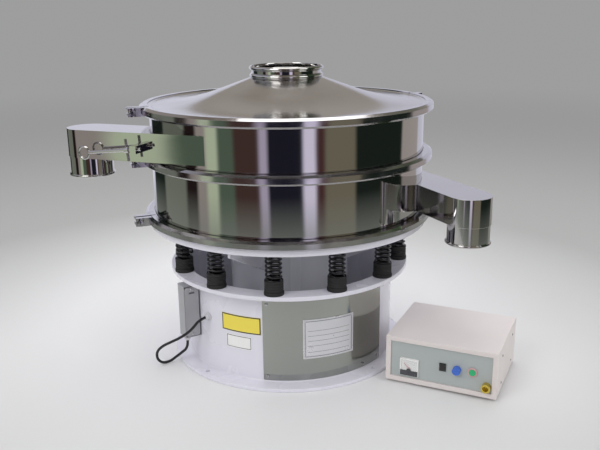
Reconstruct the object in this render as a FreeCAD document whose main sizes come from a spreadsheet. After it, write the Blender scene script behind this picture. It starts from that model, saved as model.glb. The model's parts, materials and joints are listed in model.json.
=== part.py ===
"""One-deck ultrasonic vibrating sieve, 800 mm screen, with its separate generator.

Frame: millimetres, +Z up, origin on the floor under the middle of the round base.
The front of the machine, where the name plate is, faces -Y.  A bearing is an angle
about +Z from +X, so the front is at -90 degrees.
"""
import FreeCAD, Part
import math
import os
import re
import Sketcher

SIZES = {
    # running and seating clearances
    "seat_gap": 0.3,
    "running_gap": 0.05,
    # base drum
    "base_radius": 316,
    "base_wall": 4,
    "base_height": 281,
    "foot_width": 46,
    "foot_thickness": 10,
    "rim_width": 46,
    "rim_thickness": 12,
    "anchor_inset": 20,
    "anchor_radius": 7,
    "anchor_bearing": 45,
    # access cover in the base wall
    "hatch_bearing": -69,
    "hatch_span": 70,
    "hatch_foot_gap": 4,
    "hatch_rim_gap": 15,
    "hatch_sheet": 2,
    "hatch_lap": 16,
    "hatch_screw_inset": 12,
    "hatch_screw_radius": 5,
    "hatch_screw_head": 2.5,
    # plates on the base
    "plate_bearing": -70,
    "plate_span": 27.5,
    "plate_rise": 65,
    "plate_height": 117,
    "plate_sheet": 1,
    "rivet_radius": 2.2,
    "rivet_head": 1.2,
    "rivet_inset": 6,
    "caution_bearing": -116.2,
    "caution_span": 22.4,
    "caution_drop": 70,
    "caution_height": 51,
    "notice_bearing": -117.5,
    "notice_span": 14.8,
    "notice_drop": 131,
    "notice_height": 40,
    "label_film": 0.5,
    # junction box on the base wall
    "box_bearing": -150,
    "box_width": 44,
    "box_depth": 49,
    "box_drop": 14,
    "box_height": 160,
    "box_wall": 2.5,
    "box_corner": 4,
    "lid_sheet": 2.5,
    "lid_margin": 4,
    "lid_corner": 7,
    "lid_slot_length": 16,
    "lid_slot_width": 4,
    "lid_slot_drop": 20,
    "lid_screw_radius": 2.5,
    "lid_screw_head": 1.5,
    # cable and glands
    "cable_radius": 4,
    "gland_radius": 9,
    "gland_flange": 12,
    "gland_flange_sheet": 4,
    "gland_length": 14,
    "wall_gland_bearing": -137.8,
    "wall_gland_height": 169,
    "box_gland_inset": 13,
    # springs
    "spring_count": 12,
    "spring_bearing": 22.7,
    "spring_inset": 28,
    "spring_length": 130,
    "spring_radius": 24,
    "spring_wire": 7,
    "spring_turns": 6.5,
    "cup_radius": 26,
    "cup_rim_radius": 28.5,
    "cup_rim_height": 9,
    "cup_height": 46,
    "spigot_radius": 13,
    "spigot_height": 14,
    # table of the vibrating half
    "table_overhang": 2,
    "table_plate": 8,
    "table_skirt": 15.7,
    "table_bore": 60,
    "table_rib": 22,
    # clamp joints
    "table_rise": 29,
    "lower_frame_height": 170,
    "upper_frame_height": 141,
    "flange_width": 12,
    "flange_thickness": 7,
    "gasket_half": 3,
    "gasket_step": 4,
    "gasket_inset": 1,
    "band_bulge": 9,
    "band_sheet": 6,
    "band_lip_gap": 4,
    "band_half_height": 13,
    "band_crown": 7,
    "band_split": 3,
    "clamp_bearing": -161,
    "lug_length": 37,
    "lug_gap": 5,
    "lug_thickness": 16,
    "lug_half_height": 12,
    "bolt_stand": 25,
    "bolt_radius": 4.5,
    "bolt_eye_radius": 8,
    "bolt_length": 62,
    "bolt_pin_radius": 3.5,
    "nut_radius": 9,
    "nut_thickness": 13,
    "hinge_stand": 11,
    "knuckle_radius": 8,
    "hinge_pin_radius": 3.5,
    "knuckle_half": 4,
    "hinge_arm": 22,
    # frames
    "frame_radius": 400,
    "frame_sheet": 2.5,
    # spouts
    "spout_inset": 7,
    "spout_width": 120,
    "spout_height": 77,
    "spout_overhang": 58,
    "spout_root": 60,
    "spout_sheet": 2.5,
    "pipe_radius": 58,
    "pipe_sheet": 3,
    "spout_drop": 132,
    "spout_bead": 4,
    "upper_spout_bearing": 159,
    "upper_spout_inset": 39.5,
    "lower_spout_bearing": -67.5,
    "lower_spout_inset": 72.5,
    # dome that sheds the fines to the lower spout
    "dome_lift": 16,
    "dome_rise": 40,
    "dome_flatness": 1.1,
    "dome_crown": 25,
    "dome_sheet": 2,
    # screen
    "screen_width": 21,
    "screen_step": 5,
    "screen_sheet": 2,
    "mesh_sheet": 0.6,
    "mesh_lap": 10,
    "resonator_radius": 150,
    "resonator_bar": 10,
    "transducer_radius": 22,
    "transducer_length": 62,
    # cover and inlet collar
    "cover_sheet": 2.5,
    "cover_flare_step": 7,
    "cover_flare_end": 200,
    "cover_flare_rise": 44,
    "cover_flare_radius": 560,
    "cover_bore": 104,
    "cover_rise": 78,
    "collar_sheet": 2.5,
    "collar_height": 33,
    "collar_bead": 5,
    "collar_bead_pitch": 10.8,
    "collar_step": 2,
    "collar_spigot": 8,
    # motor drum and gussets
    "drum_radius": 180,
    "drum_sheet": 5,
    "drum_height": 261,
    "gusset_bearing": -114,
    "gusset_inset": 26,
    "gusset_height": 121,
    "gusset_toe": 20,
    "gusset_sheet": 8,
    "motor_drop": 111,
    "motor_seat_sheet": 10,
    "motor_seat_bore": 104,
    "motor_flange_radius": 150,
    "motor_flange_sheet": 14,
    "motor_radius": 100,
    "motor_height": 110,
    "motor_rise": 16,
    "motor_boss_radius": 52,
    "motor_bolt_circle": 128,
    "motor_bolt_radius": 7,
    "motor_bolt_head": 8,
    # rotor
    "shaft_radius": 17.5,
    "shaft_tail": 26,
    "shaft_head": 48,
    "bearing_radius": 40,
    "bearing_width": 22,
    "weight_radius": 85,
    "weight_hub": 32,
    "weight_thickness": 26,
    "weight_angle": 160,
    # eye bolt on the upper spout
    "screw_stand": 32,
    "screw_radius": 4.5,
    "screw_start": 240,
    "screw_end": 400,
    "screw_drop": 35.5,
    "screw_tilt": 6,
    "screw_lug_start": 250,
    "screw_lug_length": 18,
    "screw_lug_half": 10,
    "screw_bar_start": 276,
    "screw_bar_half": 29,
    "screw_bar_radius": 3.5,
    "screw_hub_radius": 8,
    "screw_hub_length": 12,
    "screw_ring_radius": 16,
    "screw_ring_wire": 3,
    # generator
    "case_corner_x": 268,
    "case_corner_y": -300,
    "case_bearing": -26,
    "case_width": 310,
    "case_depth": 270,
    "case_height": 134,
    "case_sheet": 3,
    "case_bezel": 14,
    "case_bezel_depth": 12,
    "case_foot": 6,
    "case_foot_radius": 9,
    "case_foot_inset": 24,
    "panel_recess": 5,
    "panel_sheet": 3,
    "meter_left": 42,
    "meter_low": 29,
    "meter_width": 52,
    "meter_tall": 50,
    "meter_proud": 8,
    "meter_face_drop": 3,
    "meter_chin": 17,
    "meter_frame": 3,
    "meter_glass": 1.5,
    "needle_length": 22,
    "needle_width": 1.6,
    "needle_hub": 4,
    "needle_sheet": 1,
    "needle_rest": 45,
    "rocker_inset": 158,
    "rocker_low": 61,
    "rocker_width": 19,
    "rocker_tall": 23,
    "rocker_proud": 3,
    "rocker_bezel": 2,
    "rocker_rest": 6,
    "rocker_slope": 2,
    "knob_inset": 109,
    "knob_z": 72,
    "knob_radius": 11.5,
    "knob_length": 14,
    "knob_mark": 2,
    "button_inset": 67,
    "button_z": 73,
    "button_radius": 9,
    "button_bezel": 12,
    "button_length": 7,
    "button_travel": 3,
    "socket_inset": 28,
    "socket_z": 38,
    "socket_radius": 12.5,
    "socket_bore": 8,
    "socket_length": 16,
    "socket_depth": 12,
}

# Heights and radii that follow from the sizes above.
DERIVED = {
    "table_low": "base_height + spring_length",
    "foot_radius": "base_radius + foot_width",
    "rim_radius": "base_radius + rim_width",
    "anchor_circle": "foot_radius - anchor_inset",
    "box_reach": "base_radius + box_depth",
    "box_gland_reach": "box_reach - box_gland_inset",
    "spring_circle": "rim_radius - spring_inset",
    "table_radius": "flange_radius + table_overhang",
    "flange_radius": "frame_radius + flange_width",
    "gasket_inner": "frame_radius - gasket_step",
    "gasket_outer": "flange_radius - gasket_inset",
    "band_radius": "band_shoulder + band_bulge",
    "band_shoulder": "flange_radius + band_sheet",
    "band_lip": "frame_radius + band_lip_gap",
    "lug_reach": "band_radius + lug_length",
    "bolt_circle": "band_radius + bolt_stand",
    "hinge_circle": "band_radius + hinge_stand",
    "spout_offset": "frame_radius - spout_half - spout_inset",
    "spout_reach": "frame_radius + spout_overhang",
    "joint_low": "table_low + table_rise",
    "joint_middle": "joint_low + lower_frame_height",
    "joint_top": "joint_middle + upper_frame_height",
    "upper_spout_top": "joint_top - upper_spout_inset",
    "lower_spout_top": "joint_middle - lower_spout_inset",
    "dome_edge": "joint_low + dome_lift",
    "screen_inner": "screen_flange - screen_width",
    "screen_flange": "frame_radius + screen_step",
    "mesh_radius": "screen_inner + mesh_lap",
    "cover_flare_start": "frame_radius - cover_flare_step",
    "cover_flare_height": "joint_top + cover_flare_rise",
    "cover_top": "joint_top + cover_rise",
    "collar_top": "cover_top + collar_height",
    "drum_low": "table_low - drum_height",
    "gusset_reach": "table_radius - gusset_inset",
    "gusset_low": "table_low - gusset_height",
    "motor_seat": "table_low - motor_drop",
    "motor_low": "motor_seat - motor_height",
    "shaft_low": "motor_low - motor_rise - shaft_tail",
    "shaft_high": "motor_high + motor_rise + shaft_head",
    "screw_height": "upper_spout_top - screw_drop",
    "rim_low": "base_height - rim_thickness",
    "hatch_low": "foot_thickness + hatch_foot_gap",
    "hatch_high": "rim_low - hatch_rim_gap",
    "plate_low": "hatch_low + plate_rise",
    "plate_high": "plate_low + plate_height",
    "caution_high": "rim_low - caution_drop",
    "caution_low": "caution_high - caution_height",
    "notice_high": "rim_low - notice_drop",
    "notice_low": "notice_high - notice_height",
    "box_high": "rim_low - box_drop",
    "box_low": "box_high - box_height",
    "flange_rise": "gasket_half + flange_thickness",
    "cover_rim": "joint_top + gasket_half",
    "spout_half": "spout_width / 2",
    "mesh_top": "joint_middle - screen_sheet / 2 - seat_gap",
    "mesh_low": "mesh_top - mesh_sheet",
    "lug_face": "lug_gap + lug_thickness",
    "bolt_centre": "lug_gap + lug_thickness / 2",
    "motor_high": "motor_seat + motor_seat_sheet + motor_flange_sheet",
    "rocker_left": "case_width - rocker_inset",
    "knob_x": "case_width - knob_inset",
    "button_x": "case_width - button_inset",
    "socket_x": "case_width - socket_inset",
    "panel_front": "panel_recess",
    "panel_low": "case_foot + case_bezel",
    "panel_width": "case_width - 2 * case_bezel",
    "panel_tall": "case_height - 2 * case_bezel",
}

doc = FreeCAD.newDocument("VibratingSieve")
sheet = doc.addObject("Spreadsheet::Sheet", "Sizes")
NODES = {}


def fill_sheet():
    for row, (alias, number) in enumerate(SIZES.items(), start=1):
        sheet.set("A%d" % row, alias)
        sheet.set("B%d" % row, str(number))
        sheet.setAlias("B%d" % row, alias)
    doc.recompute()


def expand(text):
    """Turns size names into spreadsheet references, derived names first."""
    def swap(match):
        word = match.group(0)
        if word in DERIVED:
            return "(" + expand(DERIVED[word]) + ")"
        if word in SIZES:
            return "Sizes." + word
        return word
    return re.sub(r"[a-z_][a-z_0-9]*", swap, str(text))


def value(text):
    return float(sheet.evalExpression(expand(text)))


def bind(thing, prop, text):
    thing.setExpression(prop, expand(text))


def node(name, thing):
    """Names a finished sub-part, which also names its file."""
    thing.Label = name
    NODES[name] = thing
    return thing


# ---------------------------------------------------------------- building tools

def place(thing, x="0", y="0", z="0", bearing=None):
    """Moves a thing and turns it about +Z, all from the sheet."""
    for axis, text in zip("xyz", (x, y, z)):
        if text != "0":
            bind(thing, "Placement.Base." + axis, text)
    if bearing is not None:
        thing.Placement.Rotation = FreeCAD.Rotation(FreeCAD.Vector(0, 0, 1), 1)
        bind(thing, "Placement.Rotation.Angle", "(%s) * 1deg" % bearing)
    return thing


def cylinder(radius, height, x="0", y="0", z="0", axis="z"):
    rod = doc.addObject("Part::Cylinder", "Cylinder")
    bind(rod, "Radius", radius)
    bind(rod, "Height", height)
    turned = {"z": FreeCAD.Rotation(),
              "x": FreeCAD.Rotation(FreeCAD.Vector(0, 1, 0), 90),
              "y": FreeCAD.Rotation(FreeCAD.Vector(1, 0, 0), -90)}
    rod.Placement = FreeCAD.Placement(FreeCAD.Vector(0, 0, 0), turned[axis])
    return place(rod, x, y, z)


def box(length, width, height, x="0", y="0", z="0"):
    block = doc.addObject("Part::Box", "Box")
    bind(block, "Length", length)
    bind(block, "Width", width)
    bind(block, "Height", height)
    return place(block, x, y, z)


def cut(base, *tools):
    result = doc.addObject("Part::Cut", "Cut")
    result.Base = base
    result.Tool = tools[0] if len(tools) == 1 else fuse(*tools)
    return result


def fuse(*things):
    result = doc.addObject("Part::MultiFuse", "Fuse")
    result.Shapes = list(things)
    return result


def common(*things):
    result = doc.addObject("Part::MultiCommon", "Common")
    result.Shapes = list(things)
    return result


def group(things):
    result = doc.addObject("Part::Compound", "Group")
    result.Links = list(things)
    return result


def arc_through(start, end, radius):
    """Arc between two points; a positive radius bulges to the left of the chord."""
    chord = end - start
    reach = math.sqrt(max(radius ** 2 - (chord.Length / 2) ** 2, 0))
    left = FreeCAD.Vector(-chord.y, chord.x, 0).normalize()
    side = math.copysign(1, radius)
    middle = (start + end) / 2 + left * side * (abs(radius) - reach)
    if side > 0:
        start, end = end, start
    return Part.Arc(start, middle, end)


def draw(sketch, corners, arcs):
    """Closed outline whose every corner is held at named distances from the origin."""
    points = [FreeCAD.Vector(value(x), value(y), 0) for x, y in corners]
    count = len(points)
    for index, start in enumerate(points):
        end = points[(index + 1) % count]
        if index in arcs:
            sketch.addGeometry(arc_through(start, end, value(arcs[index])), False)
        else:
            sketch.addGeometry(Part.LineSegment(start, end), False)
    ends = []
    for index, start in enumerate(points):
        shape = sketch.Geometry[index]
        ends.append((1, 2) if (shape.StartPoint - start).Length < 1e-6 else (2, 1))
    for index in range(count):
        after = (index + 1) % count
        sketch.addConstraint(Sketcher.Constraint(
            "Coincident", index, ends[index][1], after, ends[after][0]))
    for index, (x, y) in enumerate(corners):
        hold(sketch, "DistanceX", index, ends[index][0], x)
        hold(sketch, "DistanceY", index, ends[index][0], y)
    for index, radius in arcs.items():
        size = abs(value(radius))
        number = sketch.addConstraint(Sketcher.Constraint("Radius", index, size))
        bind(sketch, "Constraints[%d]" % number, "abs(%s)" % radius)


def hold(sketch, kind, index, end, text):
    if text == "0":
        axis = -2 if kind == "DistanceX" else -1
        sketch.addConstraint(Sketcher.Constraint("PointOnObject", index, end, axis))
        return
    number = sketch.addConstraint(
        Sketcher.Constraint(kind, -1, 1, index, end, value(text)))
    bind(sketch, "Constraints[%d]" % number, text)


def sketch_on(body, role, corners, arcs):
    sketch = body.newObject("Sketcher::SketchObject", "Outline")
    plane = [item for item in body.Origin.OriginFeatures if item.Role == role][0]
    sketch.AttachmentSupport = (plane, [""])
    sketch.MapMode = "FlatFace"
    draw(sketch, corners, arcs)
    return sketch


def turned(corners, span="360", arcs=None):
    """Body turned about Z from an outline of (radius, height), centred on +X."""
    body = doc.addObject("PartDesign::Body", "Turned")
    sketch = sketch_on(body, "XZ_Plane", corners, arcs or {})
    turn = body.newObject("PartDesign::Revolution", "Turn")
    turn.Profile = sketch
    turn.ReferenceAxis = (sketch, ["V_Axis"])
    turn.Midplane = True
    bind(turn, "Angle", "(%s) * 1deg" % span)
    return body


def ring(inner, outer, low, high, span="360"):
    return turned([(inner, low), (outer, low), (outer, high), (inner, high)], span)


def plate(corners, thickness, role="XZ_Plane", arcs=None):
    """Body padded both ways from the middle plane of an outline."""
    body = doc.addObject("PartDesign::Body", "Plate")
    sketch = sketch_on(body, role, corners, arcs or {})
    pad = body.newObject("PartDesign::Pad", "Pad")
    pad.Profile = sketch
    pad.Midplane = True
    bind(pad, "Length", thickness)
    return body


def around(make, count, start, step):
    """Copies of a piece at equal bearings."""
    return group([place(make(), bearing="%s + %d * (%s)" % (start, number, step))
                  for number in range(count)])


# ---------------------------------------------------------------- base

def base_shell():
    """Rolled wall with its foot and its spring rim, welded into one piece."""
    inner = "base_radius - base_wall"
    wall = turned([
        (inner, "0"), ("foot_radius", "0"), ("foot_radius", "foot_thickness"),
        ("base_radius", "foot_thickness"), ("base_radius", "base_height - rim_thickness"),
        ("rim_radius", "base_height - rim_thickness"), ("rim_radius", "base_height"),
        (inner, "base_height")])
    anchors = around(
        lambda: group([cylinder("anchor_radius", "foot_thickness", "anchor_circle")]),
        4, "anchor_bearing", "90")
    lap = "hatch_lap / base_radius * 180 / pi"
    window = place(ring("base_radius - 2 * base_wall", "base_radius + base_wall",
                        "hatch_low + hatch_lap", "hatch_high - hatch_lap",
                        "hatch_span - 2 * " + lap), bearing="hatch_bearing")
    reach = "base_radius + base_wall"
    lead = place(cylinder("cable_radius + seat_gap", "2 * base_wall", axis="x"),
                 "(%s - 2 * base_wall) * cos(wall_gland_bearing * 1deg)" % reach,
                 "(%s - 2 * base_wall) * sin(wall_gland_bearing * 1deg)" % reach,
                 "wall_gland_height")
    lead.Placement.Rotation = FreeCAD.Rotation(
        value("wall_gland_bearing"), 90, 0)
    node("base_shell", cut(wall, anchors, window, lead))


def access_cover():
    inner = "base_radius + seat_gap"
    sheet_metal = ring(inner, inner + " + hatch_sheet", "hatch_low", "hatch_high", "hatch_span")
    node("access_cover", place(sheet_metal, bearing="hatch_bearing"))


def radial_stud(radius, length, reach, height, bearing):
    """Round head that stands out from the wall."""
    stud = cylinder(radius, length, axis="x", x=reach, z=height)
    return place(group([stud]), bearing=bearing)


def cover_screws():
    """Cross-head screws of the access cover and of the junction box lid."""
    seat = "base_radius + hatch_sheet + 2 * seat_gap"
    inset = "hatch_screw_inset / base_radius * 180 / pi"
    studs = []
    for side in ("-", "+"):
        bearing = "hatch_bearing %s (hatch_span / 2 - %s)" % (side, inset)
        for height in ("hatch_low + hatch_screw_inset", "hatch_high - hatch_screw_inset"):
            studs.append(radial_stud("hatch_screw_radius", "hatch_screw_head", seat,
                                     height, bearing))
    for height in ("box_low + lid_margin + lid_corner", "box_high - lid_margin - lid_corner"):
        stud = cylinder("lid_screw_radius", "lid_screw_head", axis="y",
                        x="(base_radius + box_reach) / 2 + lid_margin / 2",
                        y="box_width / 2 + lid_sheet + seat_gap", z=height)
        studs.append(place(group([stud]), bearing="box_bearing"))
    node("cover_screws", group(studs))


def name_plate():
    inner = "base_radius + hatch_sheet + 2 * seat_gap"
    sheet_metal = ring(inner, inner + " + plate_sheet", "plate_low", "plate_high", "plate_span")
    node("name_plate", place(sheet_metal, bearing="plate_bearing"))


def plate_rivets():
    seat = "base_radius + hatch_sheet + plate_sheet + 2 * seat_gap + seat_gap"
    inset = "rivet_inset / base_radius * 180 / pi"
    studs = []
    for side in ("-", "+"):
        bearing = "plate_bearing %s (plate_span / 2 - %s)" % (side, inset)
        for height in ("plate_low + rivet_inset", "plate_high - rivet_inset"):
            studs.append(radial_stud("rivet_radius", "rivet_head", seat, height, bearing))
    node("plate_rivets", group(studs))


def labels():
    inner = "base_radius + seat_gap"
    for name in ("caution", "notice"):
        film = ring(inner, inner + " + label_film", name + "_low", name + "_high",
                    name + "_span")
        node(name + "_label", place(film, bearing=name + "_bearing"))


def junction_box():
    """Narrow steel box, saddled to the round wall, open toward its lid."""
    depth = "box_reach - base_radius + base_wall"
    outer = box(depth, "box_width", "box_high - box_low",
                "base_radius - base_wall", "-box_width / 2", "box_low")
    hollow = box(depth + " - 2 * box_wall", "box_width", "box_high - box_low - 2 * box_wall",
                 "base_radius - base_wall + box_wall", "-box_width / 2 + box_wall",
                 "box_low + box_wall")
    saddle = cylinder("base_radius + seat_gap", "box_high", z="0")
    bore = cylinder("cable_radius + seat_gap", "3 * box_wall", "box_gland_reach", "0",
                    "box_low - box_wall")
    node("junction_box", place(cut(outer, hollow, saddle, bore), bearing="box_bearing"))


def junction_lid():
    """Lid on the side that faces the front, with a slot near its top."""
    near = "base_radius + lid_margin"
    far = "box_reach - lid_margin / 2"
    low = "box_low + lid_margin"
    high = "box_high - lid_margin"
    turn = "lid_corner"
    corners = [(near + " + " + turn, low), (far + " - " + turn, low), (far, low + " + " + turn),
               (far, high + " - " + turn), (far + " - " + turn, high),
               (near + " + " + turn, high), (near, high + " - " + turn),
               (near, low + " + " + turn)]
    arcs = {1: "-lid_corner", 3: "-lid_corner", 5: "-lid_corner", 7: "-lid_corner"}
    sheet_metal = plate(corners, "lid_sheet", arcs=arcs)
    place(sheet_metal, y="box_width / 2 + seat_gap / 3 + lid_sheet / 2")
    slot = box("lid_slot_length", "3 * lid_sheet", "lid_slot_width",
               "(%s + %s) / 2 - lid_slot_length / 2" % (near, far),
               "box_width / 2 - lid_sheet", "%s - lid_slot_drop" % high)
    node("junction_lid", place(cut(sheet_metal, slot), bearing="box_bearing"))


def gland(length):
    """Cable gland along +Z with a hexagon-sized flange at its foot."""
    body = turned([("cable_radius + seat_gap / 3", "0"), ("gland_flange", "0"),
                   ("gland_flange", "gland_flange_sheet"), ("gland_radius", "gland_flange_sheet"),
                   ("gland_radius", length + " - gland_flange_sheet"),
                   ("gland_radius - 2", length), ("cable_radius + seat_gap / 3", length)])
    return body


def cable_glands():
    wall = group([gland("gland_length")])
    wall.Placement.Rotation = FreeCAD.Rotation(value("wall_gland_bearing"), 90, 0)
    place(wall, "(base_radius + seat_gap) * cos(wall_gland_bearing * 1deg)",
          "(base_radius + seat_gap) * sin(wall_gland_bearing * 1deg)", "wall_gland_height")
    box_side = group([gland("gland_length")])
    box_side.Placement.Rotation = FreeCAD.Rotation(FreeCAD.Vector(1, 0, 0), 180)
    place(box_side, "box_gland_reach * cos(box_bearing * 1deg)",
          "box_gland_reach * sin(box_bearing * 1deg)", "box_low")
    node("cable_glands", group([wall, box_side]))


# ---------------------------------------------------------------- cable

CABLE_ROUTE = [
    (-261.5, -237, 166), (-277, -244, 147), (-296, -236, 127), (-322, -223, 106),
    (-349, -209, 88), (-376, -194.5, 70), (-397, -183, 47), (-397.5, -182.5, 21.5),
    (-383, -175.3, 5.5), (-362.4, -165, 5.5), (-344.5, -165.5, 19.5), (-326.3, -169.4, 35.2),
    (-304.8, -176, 55),
]


def cable_points():
    """The route, from the wall gland's mouth to the box gland's mouth."""
    bearing = math.radians(value("wall_gland_bearing"))
    reach = value("base_radius + seat_gap + gland_length")
    start = FreeCAD.Vector(reach * math.cos(bearing), reach * math.sin(bearing),
                           value("wall_gland_height"))
    bearing = math.radians(value("box_bearing"))
    reach = value("box_gland_reach")
    end = FreeCAD.Vector(reach * math.cos(bearing), reach * math.sin(bearing),
                         value("box_low - gland_length"))
    return [start] + [FreeCAD.Vector(*point) for point in CABLE_ROUTE] + [end]


def rounded_path(points, share):
    """Straight runs joined by tangent arcs, each as large as its two runs allow."""
    edges = []
    radii = []
    last = points[0]
    for before, corner, after in zip(points, points[1:], points[2:]):
        into = (before - corner).normalize()
        out = (after - corner).normalize()
        half_turn = (math.pi - into.getAngle(out)) / 2
        setback = share * min((before - corner).Length, (after - corner).Length)
        radius = setback / math.tan(half_turn)
        start = corner + into * setback
        end = corner + out * setback
        inward = (into + out).normalize()
        middle = corner + inward * (radius / math.cos(half_turn) - radius)
        edges.append(Part.LineSegment(last, start).toShape())
        edges.append(Part.Arc(start, middle, end).toShape())
        radii.append(radius)
        last = end
    edges.append(Part.LineSegment(last, points[-1]).toShape())
    return Part.Wire(edges), radii


def motor_cable():
    path, radii = rounded_path(cable_points(), 0.45)
    start = cable_points()[0]
    heading = (cable_points()[1] - start).normalize()
    radius = value("cable_radius")
    profile = Part.Wire([Part.makeCircle(radius, start, heading)])
    tube = path.makePipeShell([profile], True, False)
    expected = math.pi * radius ** 2 * path.Length
    print("cable: length %.0f, smallest radius %.0f, volume ratio %.3f"
          % (path.Length, min(radii), tube.Volume / expected))
    print("cable radii:", ", ".join("%.0f" % item for item in radii))
    cord = doc.addObject("Part::Feature", "Cable")
    cord.Shape = tube
    node("motor_cable", cord)


# ---------------------------------------------------------------- springs

def spring_step():
    return "360 / spring_count"


def spring_cups():
    """Rubber cups that hold the springs' lower ends on the rim."""
    def cup():
        body = turned([
            ("0", "0"), ("cup_rim_radius", "0"), ("cup_rim_radius", "cup_rim_height"),
            ("cup_radius", "cup_rim_height"), ("cup_radius", "cup_height"), ("0", "cup_height")])
        place(body, "spring_circle", "0", "base_height")
        return group([body])
    node("spring_cups", around(cup, int(SIZES["spring_count"]), "spring_bearing", spring_step()))


def coil_shape():
    """Open coil of square wire, in straight lengths, between the cup and the table."""
    sides = 8
    half = value("spring_wire") / 2
    radius = value("spring_radius") - half
    low = value("cup_height") + value("seat_gap") + half
    high = value("spring_length") - value("seat_gap") - half
    steps = int(round(value("spring_turns") * sides))
    rings = []
    for step in range(steps + 1):
        angle = 2 * math.pi * step / sides
        height = low + (high - low) * step / steps
        rings.append([FreeCAD.Vector((radius + out) * math.cos(angle),
                                     (radius + out) * math.sin(angle), height + up)
                      for out, up in ((half, half), (-half, half), (-half, -half), (half, -half))])
    faces = [Part.Face(Part.makePolygon(rings[0] + rings[0][:1])),
             Part.Face(Part.makePolygon(rings[-1] + rings[-1][:1]))]
    for here, there in zip(rings, rings[1:]):
        for side in range(4):
            near, far = side, (side + 1) % 4
            first = Part.makeLine(here[near], here[far])
            second = Part.makeLine(there[near], there[far])
            faces.append(Part.makeRuledSurface(first, second))
    shell = Part.makeShell(faces)
    shell.sewShape()
    return Part.makeSolid(shell)


def springs():
    coil = doc.addObject("Part::Feature", "Coil")
    coil.Shape = coil_shape()
    copies = []
    for number in range(int(SIZES["spring_count"])):
        link = doc.addObject("Part::Compound", "Spring")
        link.Links = [coil]
        place(link, "spring_circle", "0", "base_height")
        copies.append(place(group([link]), bearing="spring_bearing + %d * (%s)"
                            % (number, spring_step())))
    node("springs", group(copies))


# ---------------------------------------------------------------- vibrating table and motor

def spigots():
    """Stubs that centre the upper ends of the springs."""
    stubs = []
    for number in range(int(SIZES["spring_count"])):
        bearing = "(spring_bearing + %d * (%s))" % (number, spring_step())
        stubs.append(cylinder("spigot_radius", "spigot_height + table_plate / 2",
                              "spring_circle * cos(%s * 1deg)" % bearing,
                              "spring_circle * sin(%s * 1deg)" % bearing,
                              "table_low - spigot_height"))
    return stubs


def table_flange():
    """Plate that the springs carry, with a skirt, a clamp rim and spring spigots."""
    rim_high = "joint_low - gasket_half"
    inner = "table_radius - table_rib"
    disc = turned([
        ("table_bore", "table_low"), ("table_radius", "table_low"),
        ("table_radius", "table_low + table_skirt"), ("frame_radius", "table_low + table_skirt"),
        ("frame_radius", "joint_low - flange_rise"), ("flange_radius", "joint_low - flange_rise"),
        ("flange_radius", rim_high), (inner, rim_high), (inner, "table_low + table_plate"),
        ("table_bore", "table_low + table_plate")])
    node("table_flange", fuse(disc, *spigots()))


def motor_drum():
    """Steel drum under the table, with a ring inside that the motor hangs on."""
    inner = "drum_radius - drum_sheet"
    seat_high = "motor_seat + motor_seat_sheet"
    body = turned([
        (inner, "drum_low"), ("drum_radius", "drum_low"), ("drum_radius", "table_low"),
        (inner, "table_low"), (inner, seat_high), ("motor_seat_bore", seat_high),
        ("motor_seat_bore", "motor_seat"), (inner, "motor_seat")])
    node("motor_drum", body)


def gussets():
    def fin():
        inner = "drum_radius + seat_gap"
        return group([plate([
            (inner, "gusset_low"), ("gusset_reach", "table_low - gusset_toe"),
            ("gusset_reach", "table_low"), (inner, "table_low")], "gusset_sheet")])
    node("gussets", around(fin, 4, "gusset_bearing", "90"))


def motor_housing():
    bore = "shaft_radius + 2"
    low_seat = "motor_low - motor_rise"
    high_seat = "motor_high + motor_rise"
    body = turned([
        (bore, low_seat + " + bearing_width"), ("bearing_radius", low_seat + " + bearing_width"),
        ("bearing_radius", low_seat), ("motor_boss_radius", low_seat),
        ("motor_radius", "motor_low"), ("motor_radius", "motor_seat + motor_seat_sheet"),
        ("motor_flange_radius", "motor_seat + motor_seat_sheet"),
        ("motor_flange_radius", "motor_high"), ("motor_radius", "motor_high"),
        ("motor_boss_radius", high_seat), ("bearing_radius", high_seat),
        ("bearing_radius", high_seat + " - bearing_width"), (bore, high_seat + " - bearing_width")])
    node("motor_housing", body)


def motor_bolts():
    def bolt():
        return cylinder("motor_bolt_radius", "motor_bolt_head", "motor_bolt_circle", "0",
                        "motor_high")
    node("motor_bolts", around(lambda: group([bolt()]), 4, "gusset_bearing", "90"))


def motor_bearings():
    inner = "shaft_radius + running_gap"
    low = "motor_low - motor_rise"
    high = "motor_high + motor_rise"
    pair = [ring(inner, "bearing_radius - running_gap", low, low + " + bearing_width"),
            ring(inner, "bearing_radius - running_gap", high + " - bearing_width", high)]
    node("motor_bearings", group(pair))


def eccentric(low):
    """Sector weight with a hub that closes on the shaft."""
    inner = "shaft_radius + running_gap"
    hub = ring(inner, "weight_hub", low, low + " + weight_thickness")
    sector = ring("weight_hub - 4", "weight_radius", low, low + " + weight_thickness",
                  "weight_angle")
    return fuse(hub, sector)


def rotor():
    node("rotor_shaft", cylinder("shaft_radius", "shaft_high - shaft_low", z="shaft_low"))
    node("upper_weight", eccentric("shaft_high - weight_thickness - 6"))
    lower = eccentric("shaft_low")
    node("lower_weight", place(lower, bearing="60"))


# ---------------------------------------------------------------- frames, spouts and deck

def frame_shell(low_joint, high_joint):
    """Rolled shell with a flange at each end for the clamp bands."""
    inner = "frame_radius - frame_sheet"
    low = low_joint + " + gasket_half"
    high = high_joint + " - gasket_half"
    return turned([
        (inner, low), ("flange_radius", low), ("flange_radius", low + " + flange_thickness"),
        ("frame_radius", low + " + flange_thickness"), ("frame_radius", high + " - flange_thickness"),
        ("flange_radius", high + " - flange_thickness"), ("flange_radius", high), (inner, high)])


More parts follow.
